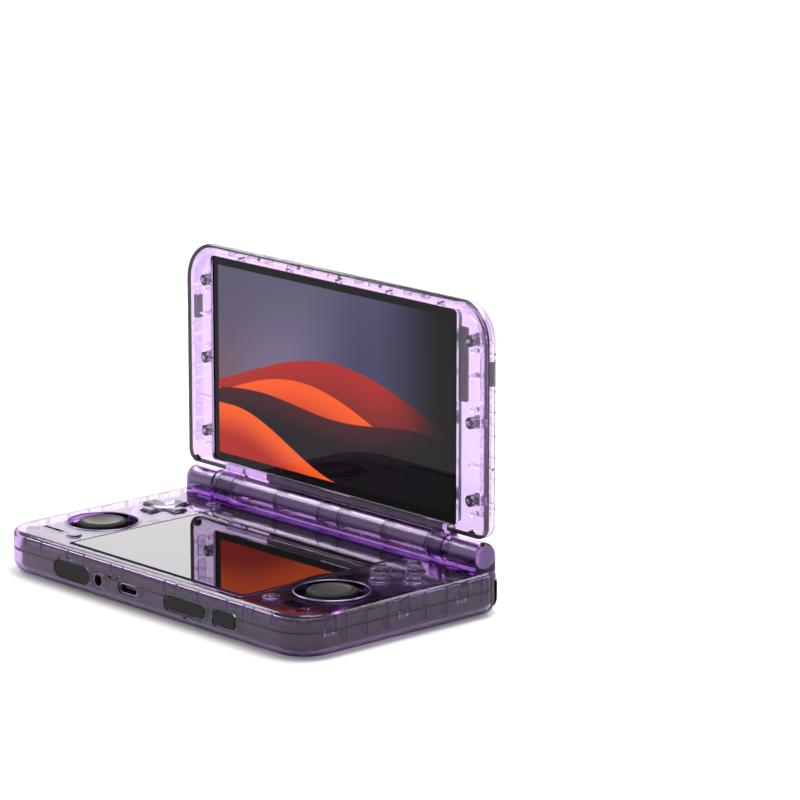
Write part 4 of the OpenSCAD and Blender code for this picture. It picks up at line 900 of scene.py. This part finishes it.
# The sticks: a soft black cap with a knurled side and a dished top on a domed skirt, its
# stem in a steel gimbal on a carriage that goes down when the stick is pressed. The cap is
# moulded over the stem.
STICK_X, STICK_Y, STICK_TILT_Z = 56.4, -14.3, 6.0
CAP_FOOT = 12.72
CAP_RADIUS = 8.1
CAP_TOP = 15.3
DISH_LOW = 14.3
DISH_RADIUS = 24.0
# Above this height and within this radius the dished top takes a finer grain and a lighter tone;
# the lighter tone is painted sheen.
DISH_SHEEN_FROM = 14.2
DISH_SHEEN_RADIUS = 5.9
KNURL_NOTCHES = 56
KNURL_DEPTH = 0.6
KNURL_TWIST = 2.0
KNURL_LOW, KNURL_HIGH = 12.75, 15.05
KNURL_MIDDLE = 13.5
KNURL_RADIUS = 7.0
SKIRT_OUTSIDE, SKIRT_INSIDE = 8.55, 7.65
SKIRT_TOP = ((4.9, 12.9), (3.6, 12.9))
STEM = ((0, 4.5), (1.8, 4.5), (2.0, 4.7), (2.0, 13.4), (0, 13.4))
PIN = ((0, -4.1), (0.6, -4.1), (0.7, -4.0), (0.7, 4.0), (0.6, 4.1), (0, 4.1))
WELL_RIM = (
    (11.6, 14.42), (11.6, 14.62), (11.68, 14.74), (11.85, 14.8), (12.05, 14.74), (12.2, 14.6),
    (12.25, 14.42), (11.6, 14.42),
)


def arc(radius, height, wide, tall, angles):
    """Points of a profile on a round about a centre; it may be wider than tall."""
    turns = [math.radians(angle) for angle in angles]
    return [(radius + wide * math.cos(turn), height + tall * math.sin(turn)) for turn in turns]


def cap_profile():
    """From the middle underneath, up the knurled side, over the lip and into the dish."""
    side = [(0.0, CAP_FOOT), (5.4, CAP_FOOT), (6.6, 12.70), (7.3, 12.74)]
    side += arc(CAP_RADIUS - 0.8, 13.45, 0.8, 0.7, (-65, -40, -15))
    side += [(CAP_RADIUS, height) for height in (13.5, 13.8, 14.1)]
    side += arc(CAP_RADIUS - 0.9, 14.2, 0.9, 0.85, (15, 35, 55, 75))
    lip = [
        (7.05, 15.06), (6.95, 14.98), (6.85, 15.0), (6.78, 15.16), (6.6, 15.27), (6.4, CAP_TOP),
        (6.15, 15.26), (5.95, 15.12),
    ]
    dish = [
        (radius, DISH_LOW + DISH_RADIUS - math.sqrt(DISH_RADIUS * DISH_RADIUS - radius * radius))
        for radius in (5.7, 5.2, 4.6, 4.0, 3.3, 2.6, 1.9, 1.2, 0.6, 0.0)
    ]
    return side + lip + dish


def knurl(angle, radius, height):
    """How deep the slanted notches cut into the side of the cap."""
    if radius < KNURL_RADIUS or not KNURL_LOW < height < KNURL_HIGH:
        return 0.0
    slant = KNURL_TWIST * (height - KNURL_MIDDLE)
    return KNURL_DEPTH * (0.5 + 0.5 * math.cos(KNURL_NOTCHES * angle + slant))


def stick_cap(name, side):
    """Cap, skirt and stem turned round one axis, with the gimbal pin across the stem."""
    x = side * STICK_X
    skirt = arc(0, STICK_TILT_Z, SKIRT_OUTSIDE, SKIRT_OUTSIDE, range(32, 55, 2))
    skirt += SKIRT_TOP
    skirt += arc(0, STICK_TILT_Z, SKIRT_INSIDE, SKIRT_INSIDE, range(60, 34, -3))
    cap = lathe(name, cap_profile(), 448, (x, STICK_Y, 0), ridge=knurl)
    pin = lathe("pin", PIN, 32, (x, STICK_Y, STICK_TILT_Z), "Y")
    parts = [
        cap,
        lathe("skirt", skirt + skirt[:1], 64, (x, STICK_Y, 0)),
        lathe("stem", STEM, 32, (x, STICK_Y, 0)),
        pin,
    ]
    work = bmesh.new()
    for part in parts:
        start = len(work.faces)
        work.from_mesh(part)
        work.faces.ensure_lookup_table()
        for face in work.faces[start:]:
            middle = face.calc_center_median() / MM
            near_axis = math.hypot(middle.x - x, middle.y - STICK_Y) < DISH_SHEEN_RADIUS
            sheened_top = near_axis and middle.z > DISH_SHEEN_FROM
            face.material_index = 1 if part is pin else 2 if sheened_top else 0
    work.to_mesh(cap)
    work.free()
    return cap


cap_rubber = moulded("cap_rubber", (0.012, 0.012, 0.013), 0.5, grain=4200.0, height=0.5, shine=0.3)
# The dish: a finer grain than the cap, and a lighter tone that paints the sky's sheen on the dished
# top.
dish_grain_and_sheen = moulded("dish_grain_and_sheen", (0.034, 0.034, 0.035), 0.38, grain=3000.0, height=0.2, shine=0.36)
polished_rim = metal("polished_rim", (0.25, 0.19, 0.33), 0.28)
gimbal_steel = metal("gimbal_steel", (0.42, 0.42, 0.44), 0.3)
for side, sign in (("left", -1), ("right", 1)):
    dress("stick_gimbal_" + side, gimbal_steel, "stick_gimbal_" + side)
    name = "well_rim_" + side
    rim = lathe(name, WELL_RIM, 96, (sign * STICK_X, STICK_Y, 0))
    piece_of(name, rim, polished_rim, "base")
    name = "stick_cap_" + side
    piece = piece_of(name, stick_cap(name, sign), cap_rubber, "stick_" + side)
    piece.data.materials.append(gimbal_steel)
    piece.data.materials.append(dish_grain_and_sheen)
    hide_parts("stick_" + side)


# The cross key and its tilting ring, the four face keys and the four small ones. All are
# clear tinted caps with polished tops over dark silicone domes; the cross has a mirror film.
PAD_X, PAD_Y = 57.0, 12.4
PAD_PITCH = 7.7
ARM_SLOPE = 0.16
CROSS_EDGE = 0.4
FACE_HOLE = 3.0
SMALL_HOLES = ((48.6, -32.4, 2.3), (49.2, 26.9, 1.95))
KEY_RIM = (
    (0.17, 14.42), (0.17, 14.57), (0.23, 14.63), (0.35, 14.63), (0.44, 14.56), (0.44, 14.42),
    (0.17, 14.42),
)


def slope_arms(material, x, y, slope):
    """Each arm's top rises outward from the middle of the cross by a small slope."""
    tree = material.node_tree
    split = add_node(tree, "ShaderNodeSeparateXYZ", {0: object_place(tree)}).outputs
    reach = [
        maths(tree, "ABSOLUTE", maths(tree, "SUBTRACT", split[axis], middle * MM))
        for axis, middle in ((0, x), (1, y))
    ]
    lift = maths(tree, "MULTIPLY", maths(tree, "MAXIMUM", *reach), slope)
    normal = tree.nodes["Principled BSDF"].inputs["Normal"]
    relief = {"Height": lift, "Distance": 1.0, "Normal": normal.links[0].from_socket}
    tree.links.new(add_node(tree, "ShaderNodeBump", relief).outputs[0], normal)


clear_key = clear_plastic("clear_key", (0.93, 0.90, 0.97), (0.40, 0.22, 0.62), 110.0, 0.015)
cross_key = clear_plastic(
    "cross_key", (0.90, 0.87, 0.95), (0.50, 0.34, 0.72), 60.0, 0.02, mirror=0.3)
slope_arms(cross_key, -PAD_X, PAD_Y, ARM_SLOPE)
ground_edge(dress("dpad", cross_key, "dpad"), CROSS_EDGE)
dress("dpad_pivot", steel, "dpad_pivot")
for way in ("north", "east", "south", "west"):
    dress("face_button_" + way, clear_key, "face_button_" + way)
for corner in ("front_left", "front_right", "rear_left", "rear_right"):
    dress("small_button_" + corner, clear_key, "small_button_" + corner)
steps = ((1, 0), (-1, 0), (0, 1), (0, -1))
key_holes = [(PAD_X + PAD_PITCH * x, PAD_Y + PAD_PITCH * y, FACE_HOLE) for x, y in steps]
key_holes += [(side * x, y, radius) for x, y, radius in SMALL_HOLES for side in (-1, 1)]
for number, (x, y, radius) in enumerate(key_holes, 1):
    name = "key_rim_%d" % number
    lip = lathe(name, [(radius + out, height) for out, height in KEY_RIM], 48, (x, y, 0))
    piece_of(name, lip, polished_rim, "base")
dress("button_mats", moulded("silicone_mat", (0.055, 0.048, 0.062), 0.55, grain=900.0), "base")


# The side keys in the front wall: the volume rocker, the power key and the card door, in
# black plastic with a coarse grain, their edges rounded.
KEY_EDGE = 0.12
DOOR_EDGE = 0.1
grained = moulded(
    "side_key", (0.020, 0.020, 0.0205), 0.6, grain=1500.0, height=1.0, spread=0.6, shine=0.1)
ground_edge(dress("volume_rocker", grained, "volume_rocker"), KEY_EDGE)
ground_edge(dress("power_button", grained, "power_button"), KEY_EDGE)
ground_edge(dress("card_door", grained, "card_door"), DOOR_EDGE)


# The four shoulder keys at the rear corners, glossy black shells that turn on one pin on
# each side.
shoulder_black = moulded("shoulder_black", (0.010, 0.010, 0.011), 0.16, grain=700.0, height=0.03)
for place in ("inner_left", "inner_right", "outer_left", "outer_right"):
    dress("shoulder_" + place, shoulder_black, "shoulder_" + place)
